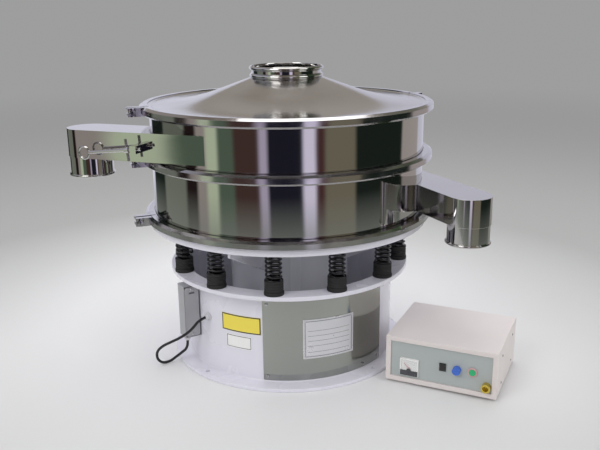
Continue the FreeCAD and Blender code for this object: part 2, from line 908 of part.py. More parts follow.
def spout_core(grow, low, top):
    """Duct with a round end; grow is how far its sides stand outside the duct's bore."""
    radius = "spout_half - spout_sheet + " + grow
    duct = box("spout_reach - spout_root", "2 * (%s)" % radius, "(%s) - (%s)" % (top, low),
               "spout_root", "spout_offset - (%s)" % radius, low)
    end = cylinder(radius, "(%s) - (%s)" % (top, low), "spout_reach", "spout_offset", low)
    return fuse(duct, end)


def spout(name, top, bearing, *extras):
    """Tangential duct that ends in a beaded pipe pointing down."""
    floor = "%s - spout_height" % top
    mouth = "%s - spout_drop" % top
    pipe = cylinder("pipe_radius", "spout_drop - spout_height + spout_sheet",
                    "spout_reach", "spout_offset", mouth)
    bead = doc.addObject("Part::Torus", "Bead")
    bind(bead, "Radius1", "pipe_radius")
    bind(bead, "Radius2", "spout_bead")
    place(bead, "spout_reach", "spout_offset", mouth + " + spout_bead")
    outside = fuse(spout_core("spout_sheet", floor, top), pipe, bead, *extras)
    bore = cylinder("pipe_radius - pipe_sheet", "spout_drop - spout_height + 2 * spout_sheet",
                    "spout_reach", "spout_offset", mouth + " - spout_sheet / 2")
    hollow = spout_core("0", floor + " + spout_sheet", top + " - spout_sheet")
    shell = cylinder("frame_radius + seat_gap", "spout_drop + spout_height", "0", "0",
                     mouth + " - spout_sheet")
    node(name, place(cut(outside, hollow, bore, shell), bearing=bearing))


def frame_with_port(name, low_joint, high_joint, top, bearing):
    port = spout_core("0", top + " - spout_height + spout_sheet", top + " - spout_sheet")
    place(port, bearing=bearing)
    node(name, cut(frame_shell(low_joint, high_joint), port))


def discharge_dome():
    """Shallow dome that sheds the sieved product toward the lower spout."""
    rim = "frame_radius - frame_sheet - seat_gap"
    radius = "dome_flatness * ((%s) ^ 2 + dome_rise ^ 2) / (2 * dome_rise)" % rim
    top = "dome_edge + dome_sheet + dome_rise"
    corners = [("0", top + " - dome_sheet"), ("dome_crown", top + " - dome_sheet"),
               (rim, "dome_edge"), (rim, "dome_edge + dome_sheet"), ("dome_crown", top),
               ("0", top)]
    body = turned(corners, arcs={1: radius, 3: "-(%s)" % radius})
    node("discharge_dome", body)


def gaskets():
    """Rubber rings in the three clamp joints; the middle one wraps the screen's rim."""
    slot = "screen_sheet / 2 + seat_gap"
    plain = [ring("gasket_inner", "gasket_outer", joint + " - gasket_half", joint + " + gasket_half")
             for joint in ("joint_low", "joint_top")]
    wrap = turned([
        ("gasket_inner", "joint_middle - gasket_half"),
        ("gasket_outer", "joint_middle - gasket_half"),
        ("gasket_outer", "joint_middle + gasket_half"),
        ("gasket_inner", "joint_middle + gasket_half"),
        ("gasket_inner", "joint_middle + " + slot),
        ("screen_flange + seat_gap", "joint_middle + " + slot),
        ("screen_flange + seat_gap", "joint_middle - (%s)" % slot),
        ("gasket_inner", "joint_middle - (%s)" % slot)])
    node("gaskets", group(plain + [wrap]))


def screen():
    """Screen ring, the woven mesh bonded under it, and the ultrasonic parts it carries."""
    node("screen_ring", ring("screen_inner", "screen_flange", "joint_middle - screen_sheet / 2",
                             "joint_middle + screen_sheet / 2"))
    node("screen_mesh", cylinder("mesh_radius", "mesh_sheet", z="mesh_low"))
    bar_low = "mesh_low - seat_gap - resonator_bar"
    hoop = ring("resonator_radius", "resonator_radius + resonator_bar", bar_low,
                bar_low + " + resonator_bar")
    arms = []
    for turn in ("0", "90"):
        arm = box("2 * screen_inner", "resonator_bar", "resonator_bar", "-screen_inner",
                  "-resonator_bar / 2", bar_low)
        arms.append(place(group([arm]), bearing=turn))
    node("resonator", fuse(hoop, *arms))
    node("transducer", cylinder("transducer_radius", "transducer_length",
                                z=bar_low + " - transducer_length"))


# ---------------------------------------------------------------- cover

def cover():
    """Flanged cover: a cone at the inlet that flares out flat toward its rim."""
    rim_high = "cover_rim + flange_thickness"
    flare = "cover_flare_height"
    corners = [
        ("gasket_inner", "cover_rim"), ("flange_radius", "cover_rim"),
        ("flange_radius", rim_high), ("gasket_inner + 1", rim_high),
        ("cover_flare_start", "cover_rim + 2 * cover_sheet"),
        ("cover_flare_end", flare), ("cover_bore", "cover_top"),
        ("cover_bore", "cover_top - cover_sheet"),
        ("cover_flare_end", flare + " - cover_sheet"),
        ("cover_flare_start", "cover_rim + cover_sheet / 2")]
    arcs = {4: "cover_flare_radius", 8: "-cover_flare_radius"}
    node("cover", turned(corners, arcs=arcs))


def inlet_collar():
    """Short feed collar with rolled beads, spigoted into the cover."""
    outer = "cover_bore - seat_gap"
    inner = outer + " - collar_sheet"
    crest = outer + " + collar_bead"
    corners = [(inner, "cover_top - collar_spigot"), (outer, "cover_top - collar_spigot"),
               (outer, "cover_top + seat_gap")]
    arcs = {}
    for bead in range(3):
        low = "cover_top + seat_gap + %d * collar_bead_pitch" % bead
        corners.append((crest + " - collar_step", low))
        arcs[len(corners) - 1] = "-(collar_bead_pitch / 2)"
        corners.append((crest + " - collar_step", low + " + collar_bead_pitch - collar_step"))
        corners.append((outer + " + collar_step", low + " + collar_bead_pitch - collar_step"))
        if bead < 2:
            corners.append((outer + " + collar_step", low + " + collar_bead_pitch"))
    corners += [(outer + " + collar_step", "collar_top"), (inner, "collar_top")]
    node("inlet_collar", turned(corners, arcs=arcs))


# ---------------------------------------------------------------- clamp bands

def band_ring(joint):
    lip = "flange_rise + seat_gap"
    return turned([
        ("band_lip", joint + " + " + lip), ("flange_radius + 1", joint + " + " + lip),
        ("flange_radius + 1", joint + " - (%s)" % lip), ("band_lip", joint + " - (%s)" % lip),
        ("band_lip", joint + " - band_half_height"), ("band_shoulder", joint + " - band_half_height"),
        ("band_radius", joint + " - band_crown"), ("band_radius", joint + " + band_crown"),
        ("band_shoulder", joint + " + band_half_height"), ("band_lip", joint + " + band_half_height")],
        span="180 - 2 * band_split / band_radius * 180 / pi")


def bolt_lug(joint, side):
    """Forked lug; side is + for the half that faces the front."""
    start = "lug_gap" if side == "+" else "-lug_face"
    root = "band_shoulder"
    block = box("lug_reach - " + root, "lug_thickness", "2 * lug_half_height", root, start,
                joint + " - lug_half_height")
    slot_half = "bolt_radius + seat_gap"
    slot = box("lug_reach", "3 * lug_thickness", "2 * (%s)" % slot_half,
               "bolt_circle - bolt_eye_radius - 1", start + " - lug_thickness",
               joint + " - (%s)" % slot_half)
    if side == "+":
        seat = cylinder("bolt_centre + lug_face", "2 * lug_half_height", "bolt_circle",
                        "-bolt_centre", joint + " - lug_half_height")
        root_block = box("bolt_circle - nut_radius - seat_gap - " + root, "lug_thickness",
                         "2 * lug_half_height", root, start, joint + " - lug_half_height")
        return cut(fuse(common(block, seat), root_block), slot)
    pin = cylinder("bolt_pin_radius + seat_gap / 3", "3 * lug_half_height", "bolt_circle",
                   "-bolt_centre", joint + " - 1.5 * lug_half_height")
    return cut(block, slot, pin)


def hinge_knuckles(joint, side):
    """Knuckles at the back; the front half carries the outer pair."""
    spans = [("-knuckle_half + seat_gap", "2 * (knuckle_half - seat_gap)")]
    if side == "+":
        outer = "lug_half_height - knuckle_half"
        spans = [("-lug_half_height", outer), ("knuckle_half", outer)]
    start = "0" if side == "+" else "-hinge_arm"
    pieces = []
    for low, height in spans:
        level = joint + " + " + low
        eye = cylinder("knuckle_radius", height, "-hinge_circle", "0", level)
        arm = box("hinge_circle - band_shoulder", "hinge_arm", height, "-hinge_circle",
                  start, level)
        pieces += [eye, arm]
    bore = cylinder("hinge_pin_radius + seat_gap / 3", "4 * lug_half_height", "-hinge_circle", "0",
                    joint + " - 2 * lug_half_height")
    return cut(fuse(*pieces), bore)


def clamp(name, joint):
    """One band: two channel halves, hinged at the back and bolted at the front left."""
    keep_out = cylinder("band_shoulder - 1", "4 * band_half_height", "0", "0",
                        joint + " - 2 * band_half_height")
    for half, side, turn in (("front", "+", 90), ("back", "-", -90)):
        channel = place(group([band_ring(joint)]), bearing=str(turn))
        fittings = cut(fuse(bolt_lug(joint, side), hinge_knuckles(joint, side)), keep_out)
        node("%s_band_%s" % (name, half), place(fuse(channel, fittings), bearing="clamp_bearing"))
    eye = cylinder("bolt_eye_radius", "2 * bolt_radius - 1", "bolt_circle", "-bolt_centre",
                   joint + " - bolt_radius + 0.5")
    rod = cylinder("bolt_radius", "bolt_length", "bolt_circle", "-bolt_centre", joint, axis="y")
    hole = cylinder("bolt_pin_radius + running_gap", "4 * bolt_radius", "bolt_circle",
                    "-bolt_centre", joint + " - 2 * bolt_radius")
    node(name + "_swing_bolt", place(cut(fuse(eye, rod), hole), bearing="clamp_bearing"))
    seat = "lug_face + seat_gap"
    prism = doc.addObject("Part::Prism", "Hexagon")
    prism.Polygon = 6
    bind(prism, "Circumradius", "nut_radius")
    bind(prism, "Height", "nut_thickness")
    prism.Placement.Rotation = FreeCAD.Rotation(FreeCAD.Vector(1, 0, 0), -90)
    place(prism, "bolt_circle", seat, joint)
    tap = cylinder("bolt_radius + running_gap", "3 * nut_thickness", "bolt_circle",
                   "lug_face - nut_thickness", joint, axis="y")
    node(name + "_nut", place(cut(prism, tap), bearing="clamp_bearing"))


def clamp_pins():
    """Hinge pins and swing bolt pins of the three bands."""
    pins = []
    for joint in ("joint_low", "joint_middle", "joint_top"):
        low = joint + " - lug_half_height"
        pair = [cylinder("hinge_pin_radius", "2 * lug_half_height", "-hinge_circle", "0", low),
                cylinder("bolt_pin_radius", "2 * lug_half_height", "bolt_circle",
                         "-bolt_centre", low)]
        pins.append(place(group(pair), bearing="clamp_bearing"))
    node("clamp_pins", group(pins))


# ---------------------------------------------------------------- screw on the upper spout

def screw_axis():
    return "spout_offset + spout_half + screw_stand"


def tilted(thing):
    """Tips a piece of the screw down toward its ring and carries it to the spout."""
    turned_piece = group([thing])
    turned_piece.Placement.Rotation = FreeCAD.Rotation(
        FreeCAD.Vector(0, 1, 0), value("screw_tilt"))
    place(turned_piece, "screw_start", screw_axis(), "screw_height")
    return place(group([turned_piece]), bearing="upper_spout_bearing")


def screw_lug():
    """Bracket that stands off the spout's outer wall and carries the screw."""
    wall = "spout_offset + spout_half - spout_sheet / 2"
    block = box("screw_lug_length", "screw_stand + screw_lug_half + spout_sheet / 2",
                "2 * screw_lug_half", "screw_lug_start", wall,
                "screw_height - screw_lug_half - 2")
    bore = cylinder("screw_radius + running_gap", "screw_end - screw_start", axis="x",
                    x="-screw_lug_length", y="0")
    tipped = group([bore])
    tipped.Placement.Rotation = FreeCAD.Rotation(FreeCAD.Vector(0, 1, 0), value("screw_tilt"))
    place(tipped, "screw_start", screw_axis(), "screw_height")
    return cut(block, tipped)


def spout_screw():
    rod = cylinder("screw_radius", "screw_end - screw_start", axis="x")
    eye = doc.addObject("Part::Torus", "Ring")
    bind(eye, "Radius1", "screw_ring_radius")
    bind(eye, "Radius2", "screw_ring_wire")
    eye.Placement.Rotation = FreeCAD.Rotation(FreeCAD.Vector(1, 0, 0), 90)
    place(eye, "screw_end - screw_start + screw_ring_radius")
    bar_at = "screw_bar_start - screw_start"
    hub = cylinder("screw_hub_radius", "screw_hub_length", axis="x", x=bar_at)
    cross = cylinder("screw_bar_radius", "2 * screw_bar_half",
                     x=bar_at + " + screw_hub_length / 2", z="-screw_bar_half")
    hole = cylinder("screw_radius + running_gap", "3 * screw_hub_length", axis="x",
                    x=bar_at + " - screw_hub_length")
    node("eye_bolt", tilted(fuse(rod, eye)))
    node("cross_bar", tilted(cut(fuse(hub, cross), hole)))


# ---------------------------------------------------------------- generator

def on_bench(thing):
    """Carries a piece from the generator's own corner to where the unit stands."""
    return place(group([thing]), "case_corner_x", "case_corner_y", "0", "case_bearing")


def generator_case():
    body = box("case_width", "case_depth", "case_height", z="case_foot")
    bezel = box("case_width - 2 * case_bezel", "2 * case_bezel_depth",
                "case_height - 2 * case_bezel", "case_bezel", "-case_bezel_depth",
                "case_foot + case_bezel")
    inside = box("case_width - 2 * case_sheet", "case_depth - case_bezel_depth - case_sheet",
                 "case_height - 2 * case_sheet", "case_sheet", "case_bezel_depth",
                 "case_foot + case_sheet")
    node("generator_case", on_bench(cut(body, bezel, inside)))


def front_panel():
    skin = box("panel_width - 2 * seat_gap", "panel_sheet", "panel_tall - 2 * seat_gap",
               "case_bezel + seat_gap", "panel_front", "panel_low + seat_gap")
    ports = []
    for x, z, radius in (("knob_x", "knob_z", "knob_radius / 2"),
                         ("button_x", "button_z", "button_radius + seat_gap"),
                         ("socket_x", "socket_z", "socket_bore")):
        ports.append(cylinder(radius, "3 * panel_sheet", x, "panel_front - panel_sheet", z,
                              axis="y"))
    ports.append(box("rocker_width", "3 * panel_sheet", "rocker_tall", "rocker_left",
                     "panel_front - panel_sheet", "rocker_low"))
    frame = box("rocker_width + 2 * rocker_bezel", "rocker_bezel",
                "rocker_tall + 2 * rocker_bezel", "rocker_left - rocker_bezel",
                "panel_front - rocker_bezel", "rocker_low - rocker_bezel")
    collar = cylinder("button_bezel", "rocker_bezel", "button_x", "panel_front - rocker_bezel",
                      "button_z", axis="y")
    node("front_panel", on_bench(cut(fuse(skin, frame, collar), *ports)))


def panel_meter():
    """Moving-coil meter: body with a lower chin, glass, and a needle on its pivot."""
    front = "panel_front - meter_proud"
    body = box("meter_width", "meter_proud", "meter_tall", "meter_left", front, "meter_low")
    well = box("meter_width - 2 * meter_frame", "meter_face_drop + meter_glass",
               "meter_tall - meter_chin - meter_frame", "meter_left + meter_frame", front, "meter_low + meter_chin")
    pivot = cylinder("needle_hub / 2", "meter_face_drop", "meter_left + meter_width / 2",
                     front, "meter_low + meter_chin + needle_hub", axis="y")
    place(pivot, y=front + " + meter_glass + seat_gap")
    node("meter_body", on_bench(fuse(cut(body, well), pivot)))
    glass = box("meter_width - 2 * meter_frame - 2 * seat_gap", "meter_glass",
                "meter_tall - meter_chin - meter_frame - 2 * seat_gap",
                "meter_left + meter_frame + seat_gap", front,
                "meter_low + meter_chin + seat_gap")
    node("meter_glass", on_bench(glass))
    centre_x = "meter_left + meter_width / 2"
    centre_z = "meter_low + meter_chin + needle_hub"
    level = front + " + meter_glass + 2 * seat_gap"
    hub = cylinder("needle_hub - seat_gap", "needle_sheet", axis="y")
    arm = box("needle_width", "needle_sheet", "needle_length", "-needle_width / 2")
    hole = cylinder("needle_hub / 2 + running_gap", "3 * needle_sheet", y="-needle_sheet",
                    axis="y")
    needle = group([cut(fuse(hub, arm), hole)])
    needle.Placement.Rotation = FreeCAD.Rotation(
        FreeCAD.Vector(0, 1, 0), -value("needle_rest"))
    node("meter_needle", on_bench(place(needle, centre_x, level, centre_z)))


def panel_controls():
    centre = "rocker_low + rocker_tall / 2"
    half = "rocker_tall / 2 - seat_gap"
    lip = "-rocker_bezel - rocker_proud"
    rocker = plate([("-rocker_proud", "0"), (lip, "-(%s)" % half),
                    ("panel_sheet", "rocker_slope - (%s)" % half), ("2 * panel_sheet", "0"),
                    ("panel_sheet", "%s - rocker_slope" % half), (lip, half)],
                   "rocker_width - 2 * seat_gap", "YZ_Plane")
    tipped = group([rocker])
    tipped.Placement.Rotation = FreeCAD.Rotation(
        FreeCAD.Vector(1, 0, 0), value("rocker_rest"))
    place(tipped, "rocker_left + rocker_width / 2", "panel_front", centre)
    node("power_rocker", on_bench(tipped))
    grip = cylinder("knob_radius", "knob_length", "knob_x", "panel_front - knob_length - seat_gap",
                    "knob_z", axis="y")
    stem = cylinder("knob_radius / 2 - seat_gap", "knob_length", "knob_x",
                    "panel_front - knob_length / 2", "knob_z", axis="y")
    mark = box("knob_mark", "knob_mark", "knob_radius - knob_mark / 2",
               "knob_x - knob_mark / 2", "panel_front - knob_length - seat_gap - knob_mark / 2",
               "knob_z")
    node("power_knob", on_bench(fuse(grip, stem, mark)))
    cap = cylinder("button_radius", "button_length + panel_sheet + button_travel", "button_x",
                   "panel_front - button_length", "button_z", axis="y")
    node("start_button", on_bench(cap))
    shell = cylinder("socket_radius", "socket_length", "socket_x",
                     "panel_front - socket_length - seat_gap / 3", "socket_z", axis="y")
    mouth = cylinder("socket_bore", "socket_length", "socket_x",
                     "panel_front - 2 * socket_length + socket_depth", "socket_z", axis="y")
    node("output_socket", on_bench(cut(shell, mouth)))


def generator_feet():
    feet = []
    for x in ("case_foot_inset", "case_width - case_foot_inset"):
        for y in ("case_foot_inset", "case_depth - case_foot_inset"):
            feet.append(cylinder("case_foot_radius", "case_foot", x, y, "0"))
    node("generator_feet", on_bench(group(feet)))


# ---------------------------------------------------------------- build and write

def build():
    fill_sheet()
    base_shell()
    access_cover()
    cover_screws()
    name_plate()
    plate_rivets()
    labels()
    junction_box()
    junction_lid()
    cable_glands()
    motor_cable()
    spring_cups()
    springs()
    table_flange()
    motor_drum()
    gussets()
    motor_housing()
    motor_bolts()
    motor_bearings()
    rotor()
    frame_with_port("lower_frame", "joint_low", "joint_middle", "lower_spout_top",
                    "lower_spout_bearing")
    frame_with_port("upper_frame", "joint_middle", "joint_top", "upper_spout_top",
                    "upper_spout_bearing")
    spout("lower_spout", "lower_spout_top", "lower_spout_bearing")
    spout("upper_spout", "upper_spout_top", "upper_spout_bearing", screw_lug())
    discharge_dome()
    gaskets()
    screen()
    cover()
    inlet_collar()
    for name, joint in (("lower", "joint_low"), ("middle", "joint_middle"), ("upper", "joint_top")):
        clamp(name, joint)
    clamp_pins()
    spout_screw()
    generator_case()
    front_panel()
    panel_meter()
    panel_controls()
    generator_feet()
    doc.recompute()


def check():
    for thing in doc.Objects:
        bad = [state for state in thing.State if state in ("Invalid", "Error")]
        if bad:
            owner = [item.Label for item in thing.InList]
            raise RuntimeError("%s failed: %s, in %s" % (thing.Name, bad, owner))
    for name, thing in NODES.items():
        shape = thing.Shape
        if shape.isNull() or not shape.isValid() or not shape.Solids:
            raise RuntimeError("%s has no valid solid" % name)


def write():
    os.makedirs("parts", exist_ok=True)
    for name, thing in NODES.items():
        thing.Shape.exportStep("parts/%s.step" % name)
    print("%d nodes written" % len(NODES))


build()
check()
write()
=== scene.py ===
"""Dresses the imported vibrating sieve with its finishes, fine shapes, light and camera."""

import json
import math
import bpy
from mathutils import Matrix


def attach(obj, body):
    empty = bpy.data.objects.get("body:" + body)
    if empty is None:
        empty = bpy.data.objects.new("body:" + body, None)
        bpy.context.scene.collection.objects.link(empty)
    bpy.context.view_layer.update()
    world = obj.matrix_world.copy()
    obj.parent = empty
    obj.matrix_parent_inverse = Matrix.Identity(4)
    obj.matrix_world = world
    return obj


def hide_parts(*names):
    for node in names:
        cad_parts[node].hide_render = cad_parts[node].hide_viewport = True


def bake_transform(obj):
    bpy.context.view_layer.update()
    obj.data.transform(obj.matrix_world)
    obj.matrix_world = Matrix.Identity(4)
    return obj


bl_info = {
    "name": "Vibrating Sieve Dresser",
    "version": (1, 0, 0),
    "blender": (4, 5, 0),
    "location": "View3D > Sidebar > Sieve",
    "description": "Builds the finished look of a round vibrating sieve on its CAD frame",
    "category": "Object",
}

import bmesh
import bpy
from bpy.props import FloatProperty, FloatVectorProperty, IntProperty, PointerProperty
from mathutils import Matrix, Vector

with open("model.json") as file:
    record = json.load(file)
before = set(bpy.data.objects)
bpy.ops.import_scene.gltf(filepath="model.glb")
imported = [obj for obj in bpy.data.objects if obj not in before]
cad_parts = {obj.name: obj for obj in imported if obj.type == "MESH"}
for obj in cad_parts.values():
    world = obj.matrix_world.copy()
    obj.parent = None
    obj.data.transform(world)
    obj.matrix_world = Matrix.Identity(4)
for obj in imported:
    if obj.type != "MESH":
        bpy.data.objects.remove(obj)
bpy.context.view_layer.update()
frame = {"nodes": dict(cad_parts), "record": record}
MM = 0.001
BACKDROP = (0.34, 0.34, 0.34)
BODY_OF = {node: body for body, nodes in frame["record"]["behaviour"]["bodies"].items()
           for node in nodes}

# Lengths in millimetres and bearings in degrees, as in the CAD
WALL, FOOT, RIM_TOP = 316, 362, 281
TABLE_FOOT, FLANGE = 411, 412
SPRING_RING, SPRING_COUNT, SPRING_START = 334, 12, 22.7
ANCHOR_RING, ANCHOR_START = 342, 45
HATCH_START, HATCH_SPAN, HATCH_LOW, HATCH_HIGH = -104, 70, 14, 254
GLAND_BEARING, GLAND_HEIGHT, BOX_BEARING = -137.8, 169, -150
CUP_FLOOR = 12
DUCT_MIDDLE, DUCT_HALF = 333, 57.5
PANEL_BEARING = -26
# First bearing, span, foot and top of each plate and film
PLATES = {"name_plate": (-83.75, 27.5, 79, 196), "caution_label": (-127.4, 22.4, 148, 199),
          "notice_label": (-124.9, 14.8, 98, 138)}
# Faces that meet at more than this many degrees keep a sharp edge
SHARP_ANGLE = 32


# ---------------------------------------------------------------- sizes and colours

def length(name, text, default):
    return FloatProperty(name=name, description=text, default=default, unit="LENGTH")


def tint(name, text, default):
    return FloatVectorProperty(name=name, description=text, default=default, size=3,
                               min=0, max=1, subtype="COLOR")


class SieveSizes(bpy.types.PropertyGroup):
    """Sizes of the fine shapes"""
    lathe_steps: IntProperty(name="Steps round", description="Facets round a turned piece",
                             default=192, min=24)
    wire: length("Spring wire", "Thickness of the spring wire", 0.0064)
    coil: length("Coil radius", "Radius to the middle of the wire", 0.0205)
    coil_turns: FloatProperty(name="Turns", description="Turns of one spring", default=9)
    edge: length("Edge rounding", "Rounding of the plate edges", 0.0012)
    cable: length("Cable", "Diameter of the motor cable", 0.008)


class SieveColours(bpy.types.PropertyGroup):
    """Colours of the finishes"""
    white: tint("White paint", "Gloss paint of the base", (0.8, 0.79, 0.86))
    steel: tint("Polished steel", "Mirror polished stainless", (0.6, 0.59, 0.58))
    chrome: tint("Plating", "Bright plating of the clamps", (0.6, 0.585, 0.6))
    satin: tint("Satin steel", "Brushed sheet", (0.6, 0.6, 0.6))
    # The drum's near-white colour is painted sheen: it stands in for the bright reflections of the
    # steel drum in the shade under the table
    drum: tint("Drum steel and painted sheen", "Drum under the table", (0.86, 0.87, 0.93))
    black: tint("Black", "Spring lacquer and rubber", (0.006, 0.006, 0.007))
    grey: tint("Grey paint", "Junction box", (0.3, 0.3, 0.31))
    yellow: tint("Yellow film", "Caution film", (0.78, 0.58, 0.02))
    film: tint("White film", "Notice film", (0.84, 0.84, 0.8))
    case: tint("Case paint", "Generator case", (0.78, 0.72, 0.7))
    panel: tint("Panel", "Generator front", (0.46, 0.5, 0.49))
    blue: tint("Blue", "Power knob", (0.015, 0.035, 0.16))
    green: tint("Green", "Start button", (0.01, 0.36, 0.13))
    brass: tint("Brass", "Output socket", (0.78, 0.6, 0.12))


def sizes():
    return bpy.context.scene.sieve_sizes


def colours():
    return bpy.context.scene.sieve_colours


# ---------------------------------------------------------------- mesh tools

def at(angle, radius, height):
    """Point in metres from a bearing in degrees and millimetre radius and height."""
    turn = math.radians(angle)
    return Vector((radius * math.cos(turn), radius * math.sin(turn), height)) * MM


def arc(distance, radius=WALL):
    """Degrees that a distance takes up on a radius."""
    return math.degrees(distance / radius)


def finish_mesh(mesh, angle=SHARP_ANGLE):
    """Smooth faces with sharp edges past the angle."""
    solid = bmesh.new()
    solid.from_mesh(mesh)
    bmesh.ops.remove_doubles(solid, verts=solid.verts, dist=1e-6)
    bmesh.ops.recalc_face_normals(solid, faces=solid.faces)
    sharpen(solid, angle)
    solid.to_mesh(mesh)
    solid.free()


def sharpen(solid, angle):
    """Smooths every face and marks the edges past the angle as sharp."""
    limit = math.radians(angle)
    for face in solid.faces:
        face.smooth = True
    for edge in solid.edges:
        edge.smooth = len(edge.link_faces) == 2 and edge.calc_face_angle(0) < limit


def add_object(name, mesh):
    piece = bpy.data.objects.new(name, mesh)
    bpy.context.collection.objects.link(piece)
    return piece


def make_piece(name, vertices, faces, angle=SHARP_ANGLE):
    mesh = bpy.data.meshes.new(name)
    mesh.from_pydata([tuple(v) for v in vertices], [], faces)
    finish_mesh(mesh, angle)
    return add_object(name, mesh)


def rounded(outline, radius, steps=3):
    """Closed outline in millimetres with its corners rounded."""
    result = []
    count = len(outline)
    for index, corner in enumerate(outline):
        here = Vector(corner)
        before = Vector(outline[index - 1]) - here
        after = Vector(outline[(index + 1) % count]) - here
        reach = min(radius, 0.45 * before.length, 0.45 * after.length)
        if before.angle(after, 0) > math.radians(160) or here.x <= 0:
            result.append(tuple(here))
            continue
        start = here + before.normalized() * reach
        end = here + after.normalized() * reach
        for step in range(steps + 1):
            share = step / steps
            point = start.lerp(here, share).lerp(here.lerp(end, share), share)
            result.append(tuple(point))
    return result


def bow(start, end, radius, steps=24):
    """Points of an arc between two outline points; a positive radius bulges left."""
    start, end = Vector(start), Vector(end)
    chord = end - start
    left = Vector((-chord.y, chord.x)).normalized() * math.copysign(1, radius)
    reach = math.sqrt(max(radius ** 2 - (chord.length / 2) ** 2, 0))
    centre = (start + end) / 2 - left * reach
    first = math.atan2(*(start - centre).yx)
    turn = math.atan2(*(end - centre).yx) - first
    turn = (turn + math.pi) % (2 * math.pi) - math.pi
    size = abs(radius)
    return [(centre.x + size * math.cos(first + turn * step / steps),
             centre.y + size * math.sin(first + turn * step / steps)) for step in range(steps + 1)]


def supported(outline, longest=40.0, gap=2.0):
    """Outline with a point near each end of its long sides, so flat walls shade flat."""
    result = []
    for index, corner in enumerate(outline):
        here = Vector(corner)
        run = Vector(outline[(index + 1) % len(outline)]) - here
        result.append(tuple(here))
        if run.length > longest:
            result.append(tuple(here + run.normalized() * gap))
            result.append(tuple(here + run - run.normalized() * gap))
    return result


def lathe(name, outline, start=0.0, span=360.0, steps=None, angle=SHARP_ANGLE):
    """Turns a closed outline of (radius, height) in millimetres about the machine's axis."""
    steps = steps or max(4, int(sizes().lathe_steps * span / 360))
    full = span >= 360
    rows = steps if full else steps + 1
    outline = supported(outline)
    count = len(outline)
    vertices = [at(start + span * row / steps, radius, height)
                for row in range(rows) for radius, height in outline]
    faces = []
    for row in range(steps):
        here, there = row * count, ((row + 1) % rows) * count
        for side in range(count):
            after = (side + 1) % count
            faces.append((here + side, there + side, there + after, here + after))
    if not full:
        faces.append(tuple(range(count)))
        faces.append(tuple(range((rows - 1) * count, rows * count)))
    return make_piece(name, vertices, faces, angle)


def smooth_copy(node):
    """Copy of a CAD node with its loose triangles joined and its round faces smooth."""
    mesh = frame["nodes"][node].data.copy()
    mesh.name = node + "_skin"
    solid = bmesh.new()
    solid.from_mesh(mesh)
    bmesh.ops.remove_doubles(solid, verts=solid.verts, dist=2e-6)
    sharpen(solid, SHARP_ANGLE)
    bmesh.ops.dissolve_limit(solid, angle_limit=math.radians(0.2), verts=solid.verts,
                             edges=solid.edges, delimit={"SHARP"})
    sharpen(solid, SHARP_ANGLE)
    solid.to_mesh(mesh)
    solid.free()
    return add_object(node + "_skin", mesh)


def join(name, pieces):
    """Joins pieces whose places are in their meshes."""
    solid = bmesh.new()
    for piece in pieces:
        solid.from_mesh(piece.data)
    mesh = bpy.data.meshes.new(name)
    solid.to_mesh(mesh)
    solid.free()
    for piece in pieces:
        bpy.data.objects.remove(piece)
    return add_object(name, mesh)


def apply_modifiers(piece):
    """Bakes a piece's modifiers into its mesh."""
    graph = bpy.context.evaluated_depsgraph_get()
    mesh = bpy.data.meshes.new_from_object(piece.evaluated_get(graph), depsgraph=graph)
    piece.modifiers.clear()
    piece.data = mesh
    return piece


def carve(piece, *cutters):
    """Cuts closed shapes out of a piece."""
    for cutter in cutters:
        cut = piece.modifiers.new("Cut", "BOOLEAN")
        cut.object = cutter
        cut.solver = "EXACT"
    apply_modifiers(piece)
    for cutter in cutters:
        bpy.data.objects.remove(cutter)
    finish_mesh(piece.data)
    return piece


def soften(piece, width, segments=2):
    """Small rounding on the sharp edges."""
    bevel = piece.modifiers.new("Soften", "BEVEL")
    bevel.width = width
    bevel.segments = segments
    bevel.limit_method = "ANGLE"
    bevel.angle_limit = math.radians(40)
    bevel.harden_normals = True
    return apply_modifiers(piece)


def ring_faces(rows, steps):
    """Faces between rings of points that follow one another."""
    faces = []
    for low in range(0, (rows - 1) * steps, steps):
        high = low + steps
        for step in range(steps):
            after = (step + 1) % steps
            faces.append((low + step, low + after, high + after, high + step))
    return faces


def capped_faces(rows, steps):
    """Faces between rings of points, closed at both ends."""
    first, last = range(steps), range((rows - 1) * steps, rows * steps)
    return ring_faces(rows, steps) + [tuple(reversed(first)), tuple(last)]


def rod(name, start, end, radius, steps=24, rounding=0.0):
    """Round bar between two points in metres, its ends slightly rounded."""
    axis = end - start
    turn = axis.to_track_quat("Z", "Y").to_matrix()
    small = min(rounding, radius * 0.9)
    rings = [(radius - small, 0.0), (radius, small), (radius, axis.length - small),
             (radius - small, axis.length)]
    vertices = []
    for size, height in rings:
        for step in range(steps):
            angle = math.tau * step / steps
            spot = Vector((size * math.cos(angle), size * math.sin(angle), height))
            vertices.append(start + turn @ spot)
    return make_piece(name, vertices, capped_faces(len(rings), steps))


def block(name, origin, along, into, up, low, high, rounding=0.0):
    """Box in a frame of three directions, from its low to its high corner in millimetres."""
    vertices = []
    for x in (low[0], high[0]):
        for y in (low[1], high[1]):
            for z in (low[2], high[2]):
                vertices.append(origin + (along * x + into * y + up * z) * MM)
    faces = [(0, 1, 3, 2), (4, 6, 7, 5), (0, 4, 5, 1), (2, 3, 7, 6), (0, 2, 6, 4), (1, 5, 7, 3)]
    piece = make_piece(name, vertices, faces)
    return soften(piece, rounding) if rounding else piece


def settle(piece, material, node=None, body=None):
    """Gives a finished piece its material, its body and the node that it stands for."""
    piece.data.materials.clear()
    piece.data.materials.append(bpy.data.materials[material])
    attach(piece, body or BODY_OF[node])
    if node:
        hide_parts(node)
    return piece


# ---------------------------------------------------------------- geometry nodes

